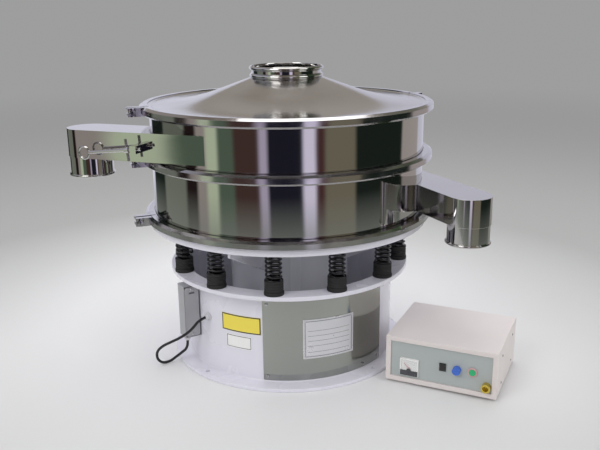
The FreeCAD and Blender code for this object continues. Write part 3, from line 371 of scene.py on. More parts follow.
class Network:
    """Small helper that wires one node tree."""

    def __init__(self, tree):
        self.tree = tree

    def add(self, kind, **settings):
        node = self.tree.nodes.new(kind)
        for key, setting in settings.items():
            setattr(node, key, setting)
        return node

    def link(self, source, target):
        self.tree.links.new(source, target)

    def feed(self, item, target):
        """Links a socket to the target, or sets a plain value on it."""
        if isinstance(item, bpy.types.NodeSocket):
            self.link(item, target)
        else:
            target.default_value = item

    def maths(self, operation, *items):
        """Result of one sum on sockets and numbers."""
        node = self.add("ShaderNodeMath", operation=operation)
        for item, target in zip(items, node.inputs):
            self.feed(item, target)
        return node.outputs[0]

    def noise(self, where, scale, detail):
        """Smooth noise over the given points."""
        node = self.add("ShaderNodeTexNoise")
        for name, item in (("Vector", where), ("Scale", scale), ("Detail", detail)):
            self.feed(item, node.inputs[name])
        return node.outputs[0]

    def spread(self, item, low, high, **settings):
        """Value stretched so that low becomes 0 and high becomes 1."""
        node = self.add("ShaderNodeMapRange", **settings)
        for name, number in (("Value", item), ("From Min", low), ("From Max", high)):
            self.feed(number, node.inputs[name])
        return node.outputs[0]

    def ramp(self, item, stops):
        """Colour ramp over positions and colours."""
        node = self.add("ShaderNodeValToRGB")
        elements = node.color_ramp.elements
        while len(elements) < len(stops):
            elements.new(0.5)
        for element, (position, colour) in zip(elements, stops):
            element.position = position
            element.color = (*colour, 1)
        self.link(item, node.inputs[0])
        return node.outputs[0]

    def blend(self, share, first, second):
        """Mix of two colours."""
        node = self.add("ShaderNodeMix", data_type="RGBA")
        for item, target in ((share, node.inputs["Factor"]), (first, node.inputs[6]),
                             (second, node.inputs[7])):
            self.feed(item, target)
        return node.outputs[2]

    def mix_shaders(self, share, first, second):
        node = self.add("ShaderNodeMixShader")
        for item, target in zip((share, first, second), node.inputs):
            self.link(item, target)
        return node.outputs[0]


class Tree(Network):
    """A new node group with its own sockets."""

    def __init__(self, name, kind):
        super().__init__(bpy.data.node_groups.new(name, kind))

    def socket(self, name, kind, default=None, output=False):
        made = self.tree.interface.new_socket(
            name=name, in_out="OUTPUT" if output else "INPUT", socket_type=kind)
        if default is not None:
            made.default_value = default
        return made


def coat_copies(work, copies, given, result):
    """Makes the copies real and gives them the group's material."""
    real = work.add("GeometryNodeRealizeInstances")
    work.link(copies, real.inputs[0])
    coat = work.add("GeometryNodeSetMaterial")
    work.link(real.outputs[0], coat.inputs["Geometry"])
    work.link(given.outputs["Material"], coat.inputs["Material"])
    work.link(coat.outputs[0], result.inputs[0])


def ring_tree():
    """Stands copies of a piece round the machine's axis, each turned to face outward."""
    work = Tree("Ring of pieces", "GeometryNodeTree")
    work.socket("Geometry", "NodeSocketGeometry")
    work.socket("Count", "NodeSocketInt", 12)
    work.socket("Radius", "NodeSocketFloat", 0.3)
    work.socket("Start", "NodeSocketFloat", 0.0)
    work.socket("Material", "NodeSocketMaterial")
    work.socket("Geometry", "NodeSocketGeometry", output=True)
    given, result = work.add("NodeGroupInput"), work.add("NodeGroupOutput")
    turn = work.maths("DIVIDE", math.tau, given.outputs["Count"])
    angle = work.maths("MULTIPLY", work.add("GeometryNodeInputIndex").outputs[0], turn)
    angle = work.maths("ADD", angle, given.outputs["Start"])
    spot = work.add("ShaderNodeCombineXYZ")
    for axis, wave in (("X", "COSINE"), ("Y", "SINE")):
        side = work.maths("MULTIPLY", work.maths(wave, angle), given.outputs["Radius"])
        work.link(side, spot.inputs[axis])
    points = work.add("GeometryNodePoints")
    for name, item in (("Count", given.outputs["Count"]), ("Position", spot.outputs[0])):
        work.link(item, points.inputs[name])
    facing = work.add("ShaderNodeCombineXYZ")
    work.link(angle, facing.inputs["Z"])
    place = work.add("GeometryNodeInstanceOnPoints")
    for name, item in (("Points", points.outputs[0]), ("Instance", given.outputs["Geometry"]),
                       ("Rotation", facing.outputs[0])):
        work.link(item, place.inputs[name])
    coat_copies(work, place.outputs[0], given, result)
    return work.tree


def coil_tree():
    """Open coil of round wire standing on the origin."""
    work = Tree("Coil", "GeometryNodeTree")
    work.socket("Geometry", "NodeSocketGeometry")
    for name, default in (("Radius", 0.02), ("Wire", 0.007), ("Height", 0.1), ("Turns", 9.0),
                          ("Foot", 0.3)):
        work.socket(name, "NodeSocketFloat", default)
    work.socket("Geometry", "NodeSocketGeometry", output=True)
    given, result = work.add("NodeGroupInput"), work.add("NodeGroupOutput")
    spiral = work.add("GeometryNodeCurveSpiral")
    spiral.inputs["Resolution"].default_value = 28
    work.link(given.outputs["Turns"], spiral.inputs["Rotations"])
    for end in ("Start Radius", "End Radius"):
        work.link(given.outputs["Radius"], spiral.inputs[end])
    work.link(given.outputs["Height"], spiral.inputs["Height"])
    round_wire = work.add("GeometryNodeCurvePrimitiveCircle")
    round_wire.inputs["Resolution"].default_value = 12
    work.link(work.maths("MULTIPLY", given.outputs["Wire"], 0.5), round_wire.inputs["Radius"])
    sweep = work.add("GeometryNodeCurveToMesh")
    work.link(spiral.outputs[0], sweep.inputs["Curve"])
    work.link(round_wire.outputs[0], sweep.inputs["Profile Curve"])
    sweep.inputs["Fill Caps"].default_value = True
    smooth = work.add("GeometryNodeSetShadeSmooth")
    work.link(sweep.outputs[0], smooth.inputs["Geometry"])
    raised = work.add("GeometryNodeTransform")
    work.link(smooth.outputs[0], raised.inputs["Geometry"])
    shift = work.add("ShaderNodeCombineXYZ")
    work.link(given.outputs["Foot"], shift.inputs["Z"])
    work.link(shift.outputs[0], raised.inputs["Translation"])
    work.link(raised.outputs[0], result.inputs[0])
    return work.tree


def stud_tree():
    """Puts one round cross-slotted head on each point, square to the way it faces."""
    work = Tree("Heads on points", "GeometryNodeTree")
    work.socket("Geometry", "NodeSocketGeometry")
    work.socket("Head", "NodeSocketObject")
    work.socket("Material", "NodeSocketMaterial")
    work.socket("Geometry", "NodeSocketGeometry", output=True)
    given, result = work.add("NodeGroupInput"), work.add("NodeGroupOutput")
    facing = work.add("GeometryNodeInputNamedAttribute", data_type="FLOAT_VECTOR")
    facing.inputs["Name"].default_value = "outward"
    align = work.add("FunctionNodeAlignRotationToVector", axis="Z")
    work.link(facing.outputs[0], align.inputs["Vector"])
    head = work.add("GeometryNodeObjectInfo")
    work.link(given.outputs["Head"], head.inputs["Object"])
    place = work.add("GeometryNodeInstanceOnPoints")
    points = work.add("GeometryNodeMeshToPoints")
    work.link(given.outputs["Geometry"], points.inputs["Mesh"])
    work.link(points.outputs[0], place.inputs["Points"])
    work.link(head.outputs["Geometry"], place.inputs["Instance"])
    work.link(align.outputs[0], place.inputs["Rotation"])
    coat_copies(work, place.outputs[0], given, result)
    return work.tree


def tree(name, maker):
    """The named node group, made on its first use."""
    return bpy.data.node_groups.get(name) or maker()


def run_tree(piece, group, **inputs):
    """Adds a node tree to a piece as a modifier with its named inputs set."""
    modifier = piece.modifiers.new(group.name, "NODES")
    modifier.node_group = group
    for item in group.interface.items_tree:
        if item.item_type == "SOCKET" and item.in_out == "INPUT" and item.name in inputs:
            modifier[item.identifier] = inputs[item.name]
    return piece


def heads(name, spots, radius, height, material, body, cross=True):
    """Screw or rivet heads; a spot is a seat point in metres and an outward direction."""
    head = domed_head(radius, height, cross)
    mesh = bpy.data.meshes.new(name)
    mesh.from_pydata([tuple(point) for point, facing in spots], [], [])
    mesh.attributes.new("outward", "FLOAT_VECTOR", "POINT")
    for index, (point, facing) in enumerate(spots):
        mesh.attributes["outward"].data[index].vector = facing
    piece = add_object(name, mesh)
    run_tree(piece, tree("Heads on points", stud_tree), Head=head,
             Material=bpy.data.materials[material])
    apply_modifiers(piece)
    bpy.data.objects.remove(head)
    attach(piece, body)
    return piece


def domed_head(radius, height, cross):
    """Pan head on the origin, with a cross recess."""
    steps = 24
    rings = [(radius, 0.0), (radius, height * 0.45), (radius * 0.86, height * 0.8),
             (radius * 0.55, height), (radius * 0.45, height)]
    vertices = [Vector((size * math.cos(math.tau * step / steps),
                        size * math.sin(math.tau * step / steps), level)) * MM
                for size, level in rings for step in range(steps)]
    head = make_piece("head", vertices, capped_faces(len(rings), steps), 50)
    if cross:
        x, y, z = Vector((1, 0, 0)), Vector((0, 1, 0)), Vector((0, 0, 1))
        long, thin, deep = radius * 0.62, radius * 0.13, height * 0.55
        bars = [block("bar", Vector(), x, y, z, (-a, -b, deep), (a, b, height * 2))
                for a, b in ((long, thin), (thin, long))]
        carve(head, *bars)
    return head


# ---------------------------------------------------------------- shader groups

def variation_group():
    """Slow colour and gloss drift with fine grain, for paint, metal and plastic."""
    work = Tree("Surface drift", "ShaderNodeTree")
    for name, kind, default in (
            ("Vector", "NodeSocketVector", None), ("Colour", "NodeSocketColor", None),
            ("Shade", "NodeSocketColor", None), ("Drift Size", "NodeSocketFloat", 8.0),
            ("Grain Size", "NodeSocketFloat", 400.0), ("Amount", "NodeSocketFloat", 0.3),
            ("Smoothest", "NodeSocketFloat", 0.2), ("Roughest", "NodeSocketFloat", 0.4)):
        work.socket(name, kind, default)
    for name, kind in (("Colour", "NodeSocketColor"), ("Roughness", "NodeSocketFloat"),
                       ("Height", "NodeSocketFloat")):
        work.socket(name, kind, output=True)
    given, result = work.add("NodeGroupInput"), work.add("NodeGroupOutput")
    drift = work.noise(given.outputs["Vector"], given.outputs["Drift Size"], 4)
    grain = work.noise(given.outputs["Vector"], given.outputs["Grain Size"], 2)
    share = work.maths("MULTIPLY", drift, given.outputs["Amount"])
    mixed = work.blend(share, given.outputs["Colour"], given.outputs["Shade"])
    work.link(mixed, result.inputs["Colour"])
    rough = work.add("ShaderNodeMapRange")
    for name, item in (("Value", drift), ("From Min", 0.3), ("From Max", 0.7),
                       ("To Min", given.outputs["Smoothest"]),
                       ("To Max", given.outputs["Roughest"])):
        work.feed(item, rough.inputs[name])
    work.link(rough.outputs[0], result.inputs["Roughness"])
    work.link(grain, result.inputs["Height"])
    return work.tree


def border_group():
    """Mask of a border line on a plate whose own map runs from 0 to 1 both ways."""
    work = Tree("Border line", "ShaderNodeTree")
    work.socket("Map", "NodeSocketVector")
    for name, default in (("Inset X", 0.03), ("Inset Y", 0.05), ("Width X", 0.02),
                          ("Width Y", 0.03)):
        work.socket(name, "NodeSocketFloat", default)
    work.socket("Mask", "NodeSocketFloat", output=True)
    given, result = work.add("NodeGroupInput"), work.add("NodeGroupOutput")
    parts = work.add("ShaderNodeSeparateXYZ")
    work.link(given.outputs["Map"], parts.inputs[0])
    outer, inner = [], []
    for axis in "XY":
        middle = work.maths("ABSOLUTE", work.maths("SUBTRACT", parts.outputs[axis], 0.5))
        edge = work.maths("SUBTRACT", 0.5, middle)
        inset = given.outputs["Inset " + axis]
        outer.append(work.maths("GREATER_THAN", edge, inset))
        past = work.maths("ADD", inset, given.outputs["Width " + axis])
        inner.append(work.maths("LESS_THAN", edge, past))
    inside = work.maths("MULTIPLY", outer[0], outer[1])
    near = work.maths("MAXIMUM", inner[0], inner[1])
    work.link(work.maths("MULTIPLY", inside, near), result.inputs["Mask"])
    return work.tree


def start_material(name):
    """New material with its node helper and its shader."""
    material = bpy.data.materials.new(name)
    material.use_nodes = True
    return material, Network(material.node_tree), material.node_tree.nodes["Principled BSDF"]


def finish(name, colour, shade, metallic, smooth, rough, drift, grain, amount, bump,
           coat=0.0, stretch=(1, 1, 1), depth=0.0004):
    """Material that drifts in colour and gloss and carries a fine grain.

    The shade is a second colour, or the share of the first that it keeps.
    """
    if isinstance(shade, float):
        shade = darker(colour, shade)
    material, work, shader = start_material(name)
    mapping = work.add("ShaderNodeMapping")
    mapping.inputs["Scale"].default_value = stretch
    work.link(work.add("ShaderNodeTexCoord").outputs["Object"], mapping.inputs["Vector"])
    group = work.add("ShaderNodeGroup", node_tree=tree("Surface drift", variation_group))
    for socket, item in (("Vector", mapping.outputs[0]), ("Colour", (*colour, 1)),
                         ("Shade", (*shade, 1)), ("Drift Size", drift), ("Grain Size", grain),
                         ("Amount", amount), ("Smoothest", smooth), ("Roughest", rough)):
        work.feed(item, group.inputs[socket])
    grained = work.add("ShaderNodeBump")
    for socket, item in (("Strength", bump), ("Distance", depth),
                         ("Height", group.outputs["Height"])):
        work.feed(item, grained.inputs[socket])
    for socket, item in (("Base Color", group.outputs["Colour"]),
                         ("Roughness", group.outputs["Roughness"]),
                         ("Normal", grained.outputs[0]), ("Metallic", metallic),
                         ("Coat Weight", coat), ("Coat Roughness", 0.08)):
        work.feed(item, shader.inputs[socket])
    return material, work, shader


def darker(colour, share):
    """The colour with each part multiplied by the share."""
    return tuple(part * share for part in colour)


def film(name, colour, ink, inset, width, smooth=0.35, metallic=0.0):
    """Thin plate or film with one printed border line and nothing else."""
    work, shader = finish(name, colour, 0.9, metallic, smooth, smooth + 0.12, 20, 400, 0.4,
                          0.03)[1:]
    where = work.add("ShaderNodeUVMap", uv_map="Plate")
    border = work.add("ShaderNodeGroup", node_tree=tree("Border line", border_group))
    work.link(where.outputs[0], border.inputs["Map"])
    for axis, number, thick in zip("XY", inset, width):
        border.inputs["Inset " + axis].default_value = number
        border.inputs["Width " + axis].default_value = thick
    plain = shader.inputs["Base Color"].links[0].from_socket
    work.link(work.blend(border.outputs[0], plain, (*ink, 1)), shader.inputs["Base Color"])


def make_materials():
    tone = colours()
    # Name, colour, shade, metallic, smoothest, roughest, drift, grain, amount and bump
    rows = (
        ("white_paint", tone.white, 0.88, 0.0, 0.22, 0.34, 5, 260, 0.35, 0.05),
        ("mirror_steel", tone.steel, 0.86, 1.0, 0.035, 0.075, 6, 900, 0.5, 0.012),
        ("cover_steel", tone.steel, 0.85, 1.0, 0.13, 0.2, 6, 900, 0.5, 0.02),
        ("hatch_steel", (0.4, 0.415, 0.385), (0.33, 0.345, 0.32), 1.0, 0.08, 0.14, 7, 1200,
         0.5, 0.03),
        ("spout_steel", tone.steel, 0.8, 1.0, 0.05, 0.1, 9, 900, 0.5, 0.02),
        # Drum: near-white colour with little metal, a painted sheen standing in for its bright
        # reflections under the table
        ("drum_steel", tone.drum, 0.7, 0.1, 0.2, 0.3, 11, 1200, 0.7, 0.04),
        ("satin_steel", tone.satin, 0.8, 1.0, 0.2, 0.32, 10, 1500, 0.5, 0.05),
        ("plating", tone.chrome, 0.8, 1.0, 0.08, 0.2, 30, 700, 0.5, 0.03),
        ("spring_lacquer", tone.black, 2.5, 0.0, 0.1, 0.2, 40, 500, 0.5, 0.06),
        ("black_rubber", tone.black, 3.0, 0.0, 0.42, 0.62, 40, 800, 0.6, 0.12),
        ("cable_rubber", tone.black, 3.0, 0.0, 0.35, 0.5, 60, 900, 0.6, 0.08),
        ("gasket_rubber", (0.72, 0.72, 0.7), (0.5, 0.5, 0.48), 0.0, 0.45, 0.6, 20, 600, 0.5,
         0.1),
        ("grey_paint", tone.grey, 0.75, 0.0, 0.3, 0.45, 14, 500, 0.5, 0.08),
        ("cast_paint", (0.12, 0.16, 0.22), (0.07, 0.09, 0.12), 0.0, 0.35, 0.6, 20, 200, 0.6,
         0.3),
        ("case_powder", tone.case, 0.9, 0.0, 0.38, 0.5, 9, 700, 0.4, 0.25),
        ("panel_print", tone.panel, 0.85, 0.0, 0.4, 0.55, 12, 700, 0.5, 0.06),
        ("black_plastic", tone.black, 3.0, 0.0, 0.2, 0.35, 60, 600, 0.4, 0.05),
        ("gland_plastic", (0.7, 0.7, 0.72), (0.5, 0.5, 0.52), 0.0, 0.3, 0.45, 60, 600, 0.5,
         0.05),
        ("printing_ink", (0.03, 0.03, 0.035), (0.07, 0.07, 0.08), 0.0, 0.35, 0.5, 60, 600,
         0.5, 0.02),
        ("pink_bezel", (0.72, 0.42, 0.45), (0.6, 0.32, 0.34), 0.0, 0.25, 0.4, 60, 600, 0.5,
         0.04),
        ("smoke_plastic", (0.05, 0.05, 0.06), (0.09, 0.09, 0.1), 0.0, 0.2, 0.35, 60, 600,
         0.5, 0.04),
        ("blue_plastic", tone.blue, 0.6, 0.0, 0.18, 0.3, 60, 600, 0.5, 0.04),
        ("green_lens", tone.green, 0.7, 0.0, 0.1, 0.2, 80, 400, 0.5, 0.04),
        ("meter_white", (0.85, 0.85, 0.82), (0.7, 0.7, 0.68), 0.0, 0.25, 0.4, 40, 500, 0.4,
         0.03),
        ("red_paint", (0.6, 0.05, 0.03), (0.4, 0.03, 0.02), 0.0, 0.3, 0.45, 50, 500, 0.4,
         0.03),
        ("turned_brass", tone.brass, 0.7, 1.0, 0.16, 0.3, 50, 900, 0.5, 0.06),
        ("woven_mesh", (0.5, 0.5, 0.5), (0.3, 0.3, 0.3), 1.0, 0.3, 0.45, 300, 3000, 0.8,
         0.4))
    extras = {
        "white_paint": {"coat": 0.25},
        "mirror_steel": {"stretch": (1, 1, 0.15), "depth": 0.0002},
        "cover_steel": {"depth": 0.0002},
        "hatch_steel": {"stretch": (1, 1, 0.05)},
        "drum_steel": {"stretch": (1, 1, 0.05)},
        "satin_steel": {"stretch": (1, 1, 0.04)},
        "spring_lacquer": {"coat": 0.3},
        "cast_paint": {"depth": 0.001},
        "smoke_plastic": {"coat": 0.3},
        "green_lens": {"coat": 0.5}}
    for row in rows:
        finish(*row, **extras.get(row[0], {}))
    lens = bpy.data.materials["green_lens"].node_tree.nodes["Principled BSDF"].inputs
    lens["Emission Color"].default_value = (*tone.green, 1)
    lens["Emission Strength"].default_value = 0.25
    film("plate_face", (0.74, 0.74, 0.77), (0.35, 0.36, 0.4), (0.04, 0.05), (0.008, 0.011),
         smooth=0.25, metallic=0.6)
    film("yellow_film", tone.yellow, (0.02, 0.02, 0.02), (0.0, 0.0), (0.035, 0.08))
    film("white_film", tone.film, (0.03, 0.03, 0.03), (0.03, 0.06), (0.02, 0.035))
    glass = start_material("clear_glass")[-1].inputs
    glass["Base Color"].default_value = (0.95, 0.97, 0.97, 1)
    glass["Roughness"].default_value = 0.05
    glass["Alpha"].default_value = 0.22


# ---------------------------------------------------------------- operators

class SIEVE_OT_finishes(bpy.types.Operator):
    """Make every procedural finish of the sieve"""
    bl_idname = "sieve.finishes"
    bl_label = "Finishes"

    def execute(self, context):
        make_materials()
        return {"FINISHED"}


class SIEVE_OT_base(bpy.types.Operator):
    """Build the painted base drum with its hatch, plate and films"""
    bl_idname = "sieve.base"
    bl_label = "Base"

    def execute(self, context):
        inner = WALL - 4
        rim_foot = RIM_TOP - 12
        outline = [(inner, 0), (FOOT, 0), (FOOT, 10), (WALL + 3, 10), (WALL, 13),
                   (WALL, rim_foot - 3), (WALL + 3, rim_foot), (FOOT, rim_foot),
                   (FOOT, RIM_TOP), (inner, RIM_TOP)]
        body = lathe("base_drum", rounded(outline, 1.6))
        holes = [rod("hole", at(angle, ANCHOR_RING, -5), at(angle, ANCHOR_RING, 20), 0.007)
                 for angle in range(ANCHOR_START, 360, 90)]
        inside, outside = WALL - 11, WALL + 9
        window = lathe("window", [(inside, 30), (outside, 30), (outside, 238), (inside, 238)],
                       -101.1, 64.2)
        lead = rod("lead", at(GLAND_BEARING, inside, GLAND_HEIGHT),
                   at(GLAND_BEARING, outside, GLAND_HEIGHT), 0.0045)
        carve(body, window, lead, *holes)
        settle(body, "white_paint", "base_shell")
        self.hatch()
        self.plates()
        return {"FINISHED"}

    def hatch(self):
        """Curved sheet over the window with its screws, and the screws of the box lid."""
        inner, outer = WALL + 0.3, WALL + 2.3
        outline = [(inner, HATCH_LOW), (outer, HATCH_LOW), (outer, HATCH_HIGH),
                   (inner, HATCH_HIGH)]
        sheet = lathe("hatch_sheet", rounded(outline, 0.6), HATCH_START, HATCH_SPAN, steps=96)
        settle(sheet, "hatch_steel", "access_cover")
        inset = 12
        spots = [(at(angle, outer + 0.1, height), at(angle, 1000, 0))
                 for angle in (HATCH_START + arc(inset), HATCH_START + HATCH_SPAN - arc(inset))
                 for height in (HATCH_LOW + inset, HATCH_HIGH - inset)]
        side = at(-60, 24.8, 0)
        spots += [(at(BOX_BEARING, 342.5, height) + side, side) for height in (106, 244)]
        studs = heads("hatch_screws", spots, 4.6, 2.6, "plating", "base")
        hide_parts("cover_screws")

    def plates(self):
        for name, node, material, gap, thick in (
                ("name_plate_face", "name_plate", "plate_face", 2.6, 1),
                ("caution_face", "caution_label", "yellow_film", 0.3, 0.5),
                ("notice_face", "notice_label", "white_film", 0.3, 0.5)):
            angle, span, low, high = PLATES[node]
            inner, outer = WALL + gap, WALL + gap + thick
            plate = lathe(name, [(inner, low), (outer, low), (outer, high), (inner, high)],
                          angle, span, steps=40)
            self.map_plate(plate, angle, span, low, high)
            settle(plate, material, node)
        self.print_lines()
        angle, span, low, high = PLATES["name_plate"]
        inset = 6
        spots = [(at(bearing, WALL + 3.6, height), at(bearing, 1000, 0))
                 for bearing in (angle + arc(inset), angle + span - arc(inset))
                 for height in (low + inset, high - inset)]
        rivets = heads("plate_rivet_heads", spots, 2.4, 1.4, "satin_steel", "base", cross=False)
        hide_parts("plate_rivets")

    def print_lines(self):
        """Plain printed frames and ruled lines, with no words."""
        ink = 0.12
        for name, node, gap, inset, wide, rules in (
                ("caution_border", "caution_label", 0.85, 0.4, 3.2, ()),
                ("notice_border", "notice_label", 0.85, 2.0, 1.6, ()),
                ("plate_rules", "name_plate", 3.65, 5.0, 0.8, (98, 116, 131, 146, 161))):
            angle, span, low, high = PLATES[node]
            reach = WALL + gap
            turn = arc(1, reach)
            left, right = angle + inset * turn, angle + span - inset * turn
            low, high = low + inset, high - inset
            strips = [(left, right, low, low + wide), (left, right, high - wide, high),
                      (left, left + wide * turn, low, high),
                      (right - wide * turn, right, low, high)]
            strips += [(left + 9 * turn, right - 9 * turn, rule, rule + wide) for rule in rules]
            bars = [lathe("bar", [(reach, foot), (reach + ink, foot), (reach + ink, top),
                                  (reach, top)], start, end - start, steps=36)
                    for start, end, foot, top in strips]
            lines = join(name, bars)
            settle(lines, "printing_ink", None, "base")

    def map_plate(self, plate, angle, span, low, high):
        """Map that runs from 0 to 1 along and up the plate."""
        layer = plate.data.uv_layers.new(name="Plate")
        for loop in plate.data.loops:
            spot = plate.data.vertices[loop.vertex_index].co
            turn = math.degrees(math.atan2(spot.y, spot.x))
            layer.data[loop.index].uv = ((turn - angle) / span, (spot.z / MM - low) / (high - low))


class SIEVE_OT_cable(bpy.types.Operator):
    """Build the junction box, the glands and the motor cable"""
    bl_idname = "sieve.cable"
    bl_label = "Junction box and cable"

    def execute(self, context):
        for node in ("junction_box", "junction_lid"):
            settle(soften(smooth_copy(node), sizes().edge), "grey_paint", node)
        settle(smooth_copy("cable_glands"), "gland_plastic", "cable_glands")
        self.cable()
        return {"FINISHED"}

    def cable(self):
        """Lead from the gland in the wall, down in a loop and up under the box."""
        route = [at(GLAND_BEARING, 330.3, GLAND_HEIGHT), (-0.2615, -0.237, 0.166),
                 (-0.277, -0.244, 0.147),
                 (-0.296, -0.236, 0.127), (-0.322, -0.223, 0.106), (-0.349, -0.209, 0.088),
                 (-0.376, -0.1945, 0.07), (-0.397, -0.183, 0.047), (-0.3975, -0.1825, 0.0215),
                 (-0.383, -0.1753, 0.0055), (-0.3624, -0.165, 0.0055),
                 (-0.3445, -0.1655, 0.0195), (-0.3263, -0.1694, 0.0352),
                 (-0.3048, -0.176, 0.055), at(BOX_BEARING, 352, 81)]
        line = bpy.data.curves.new("motor_lead", "CURVE")
        line.dimensions = "3D"
        line.resolution_u = 12
        line.bevel_depth = sizes().cable / 2
        line.bevel_resolution = 5
        line.use_fill_caps = True
        spline = line.splines.new("NURBS")
        spline.points.add(len(route) - 1)
        for point, spot in zip(spline.points, route):
            point.co = (*spot, 1)
        spline.order_u = 3
        spline.use_endpoint_u = True
        cord = add_object("motor_lead", line)
        line.materials.append(bpy.data.materials["cable_rubber"])
        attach(cord, "base")
        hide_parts("motor_cable")


class SIEVE_OT_springs(bpy.types.Operator):
    """Build the coil springs and their ribbed rubber cups"""
    bl_idname = "sieve.springs"
    bl_label = "Springs"

    def execute(self, context):
        self.cups()
        self.coils()
        return {"FINISHED"}

    def cups(self):
        """Ribbed cups that stand round the rim and hold the feet of the springs."""
        ribs = [(27.6, 0.0), (27.8, 1.2), (27.6, 7.4), (26.4, 8.6)]
        for rib in range(4):
            low = 9.2 + rib * 7.6
            ribs += [(24.9, low), (24.9, low + 1.9), (26.2, low + 3.0), (26.2, low + 6.4)]
        ribs += [(25.6, 41.0), (24.6, 41.0), (24.4, 40.0), (24.4, CUP_FLOOR),
                 (0.0, CUP_FLOOR), (0.0, 0.0)]
        cup = lathe("cup", ribs, steps=40, angle=50)
        cup.name = "rubber_cups"
        for vertex in cup.data.vertices:
            vertex.co.z += RIM_TOP * MM
        self.stand_round(cup, "black_rubber")
        apply_modifiers(cup)
        settle(cup, "black_rubber", "spring_cups")

    def stand_round(self, piece, material):
        """Sets one copy of the piece at each spring."""
        run_tree(piece, tree("Ring of pieces", ring_tree), Count=SPRING_COUNT,
                 Radius=SPRING_RING * MM, Start=math.radians(SPRING_START),
                 Material=bpy.data.materials[material])

    def coils(self):
        """Round wire coils between the cups and the table."""
        size = sizes()
        coil = make_piece("coil_springs", [(0, 0, 0)], [])
        gap = 0.3
        foot = (RIM_TOP + CUP_FLOOR + gap) * MM + size.wire / 2
        height = (TABLE_FOOT - gap) * MM - size.wire / 2 - foot
        run_tree(coil, tree("Coil", coil_tree), Radius=size.coil, Wire=size.wire, Height=height,
                 Turns=size.coil_turns, Foot=foot)
        self.stand_round(coil, "spring_lacquer")
        apply_modifiers(coil)
        coil.data.materials.clear()
        coil.data.materials.append(bpy.data.materials["spring_lacquer"])
        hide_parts("springs")
        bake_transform(coil)


class SIEVE_OT_table(bpy.types.Operator):
    """Build the vibrating table, the motor drum and the motor"""
    bl_idname = "sieve.table"
    bl_label = "Table and motor"

    def execute(self, context):
        outline = [(60, TABLE_FOOT), (414, TABLE_FOOT), (414, 426.7), (400, 426.7),
                   (400, 430), (FLANGE, 430), (FLANGE, 437), (392, 437), (392, 419),
                   (60, 419)]
        disc = lathe("table_disc", rounded(outline, 1.8))
        bearings = [SPRING_START + 360 / SPRING_COUNT * turn for turn in range(SPRING_COUNT)]
        stubs = [rod("stub", at(angle, SPRING_RING, TABLE_FOOT - 14),
                     at(angle, SPRING_RING, TABLE_FOOT + 1), 0.013) for angle in bearings]
        settle(join("table_disc", [disc] + stubs), "white_paint", "table_flange")
        drum = [(175, 150), (180, 150), (180, TABLE_FOOT), (175, TABLE_FOOT), (175, 310),
                (104, 310), (104, 300), (175, 300)]
        settle(lathe("drum_shell", rounded(drum, 1.2)), "drum_steel", "motor_drum")
        settle(soften(smooth_copy("gussets"), 0.001), "white_paint", "gussets")
        for node, material in (("motor_housing", "cast_paint"), ("motor_bolts", "plating"),
                               ("motor_bearings", "satin_steel"), ("rotor_shaft", "satin_steel"),
                               ("upper_weight", "cast_paint"), ("lower_weight", "cast_paint")):
            settle(smooth_copy(node), material, node)
        return {"FINISHED"}


def duct_cutter(angle, low, high):
    """Inside of a spout's duct, long enough to open the shell."""
    along, across, up = at(angle, 1000, 0), at(angle + 90, 1000, 0), Vector((0, 0, 1))
    return block("duct_bore", Vector(), along, across, up, (60, DUCT_MIDDLE - DUCT_HALF, low),
                 (458, DUCT_MIDDLE + DUCT_HALF, high))


class SIEVE_OT_shells(bpy.types.Operator):
    """Build the polished frames with their spouts"""
    bl_idname = "sieve.shells"
    bl_label = "Frames and spouts"

    def execute(self, context):
        for name, low, high, angle, top in (("lower", 443, 607, -67.5, 537.5),
                                            ("upper", 613, 748, 159, 711.5)):
            outline = [(397.5, low), (FLANGE, low), (FLANGE, low + 7), (400, low + 7),
                       (400, high - 7), (FLANGE, high - 7), (FLANGE, high), (397.5, high)]
            shell = lathe(name + "_shell", rounded(outline, 1.8), steps=256)
            carve(shell, duct_cutter(angle, top - 74.5, top - 2.5))
            settle(shell, "mirror_steel", name + "_frame")
            settle(soften(smooth_copy(name + "_spout"), 0.0015, 3), "spout_steel",
                   name + "_spout")
        for node, material in (("gaskets", "gasket_rubber"), ("screen_ring", "satin_steel"),
                               ("screen_mesh", "woven_mesh"), ("resonator", "satin_steel"),
                               ("transducer", "satin_steel"), ("discharge_dome", "mirror_steel")):
            settle(smooth_copy(node), material, node)
        return {"FINISHED"}


class SIEVE_OT_cover(bpy.types.Operator):
    """Build the flared cover and its beaded inlet collar"""
    bl_idname = "sieve.cover"
    bl_label = "Cover and collar"

    def execute(self, context):
        skin = [(396, 754), (FLANGE, 754), (FLANGE, 761), (399, 761), (395, 760.2)]
        skin += bow((393, 759), (200, 795), 560)
        skin += [(150, 812.7), (105, 828.7), (104, 829), (104, 826.5), (150, 810.1)]
        skin += bow((200, 792.5), (393, 755.3), -560)
        settle(lathe("cover_cone", skin, steps=256, angle=28), "cover_steel", "cover")
        inner, outer, pitch = 101.2, 103.7, 10.8
        collar = [(inner, 821), (outer, 821), (outer, 829.3)]
        for bead, wide in enumerate((5.6, 4.8, 5.0)):
            low = 829.5 + bead * pitch
            collar += bow((outer + 0.4, low), (outer + 0.4, low + pitch - 0.9), -wide, 12)
            collar.append((outer + 0.1, low + pitch - 0.3))
        collar[-1] = (outer + 0.2, 861.6)
        collar += [(outer - 0.4, 862), (inner + 0.4, 862), (inner, 861.6)]
        settle(lathe("collar_beads", collar, angle=60), "mirror_steel", "inlet_collar")
        return {"FINISHED"}


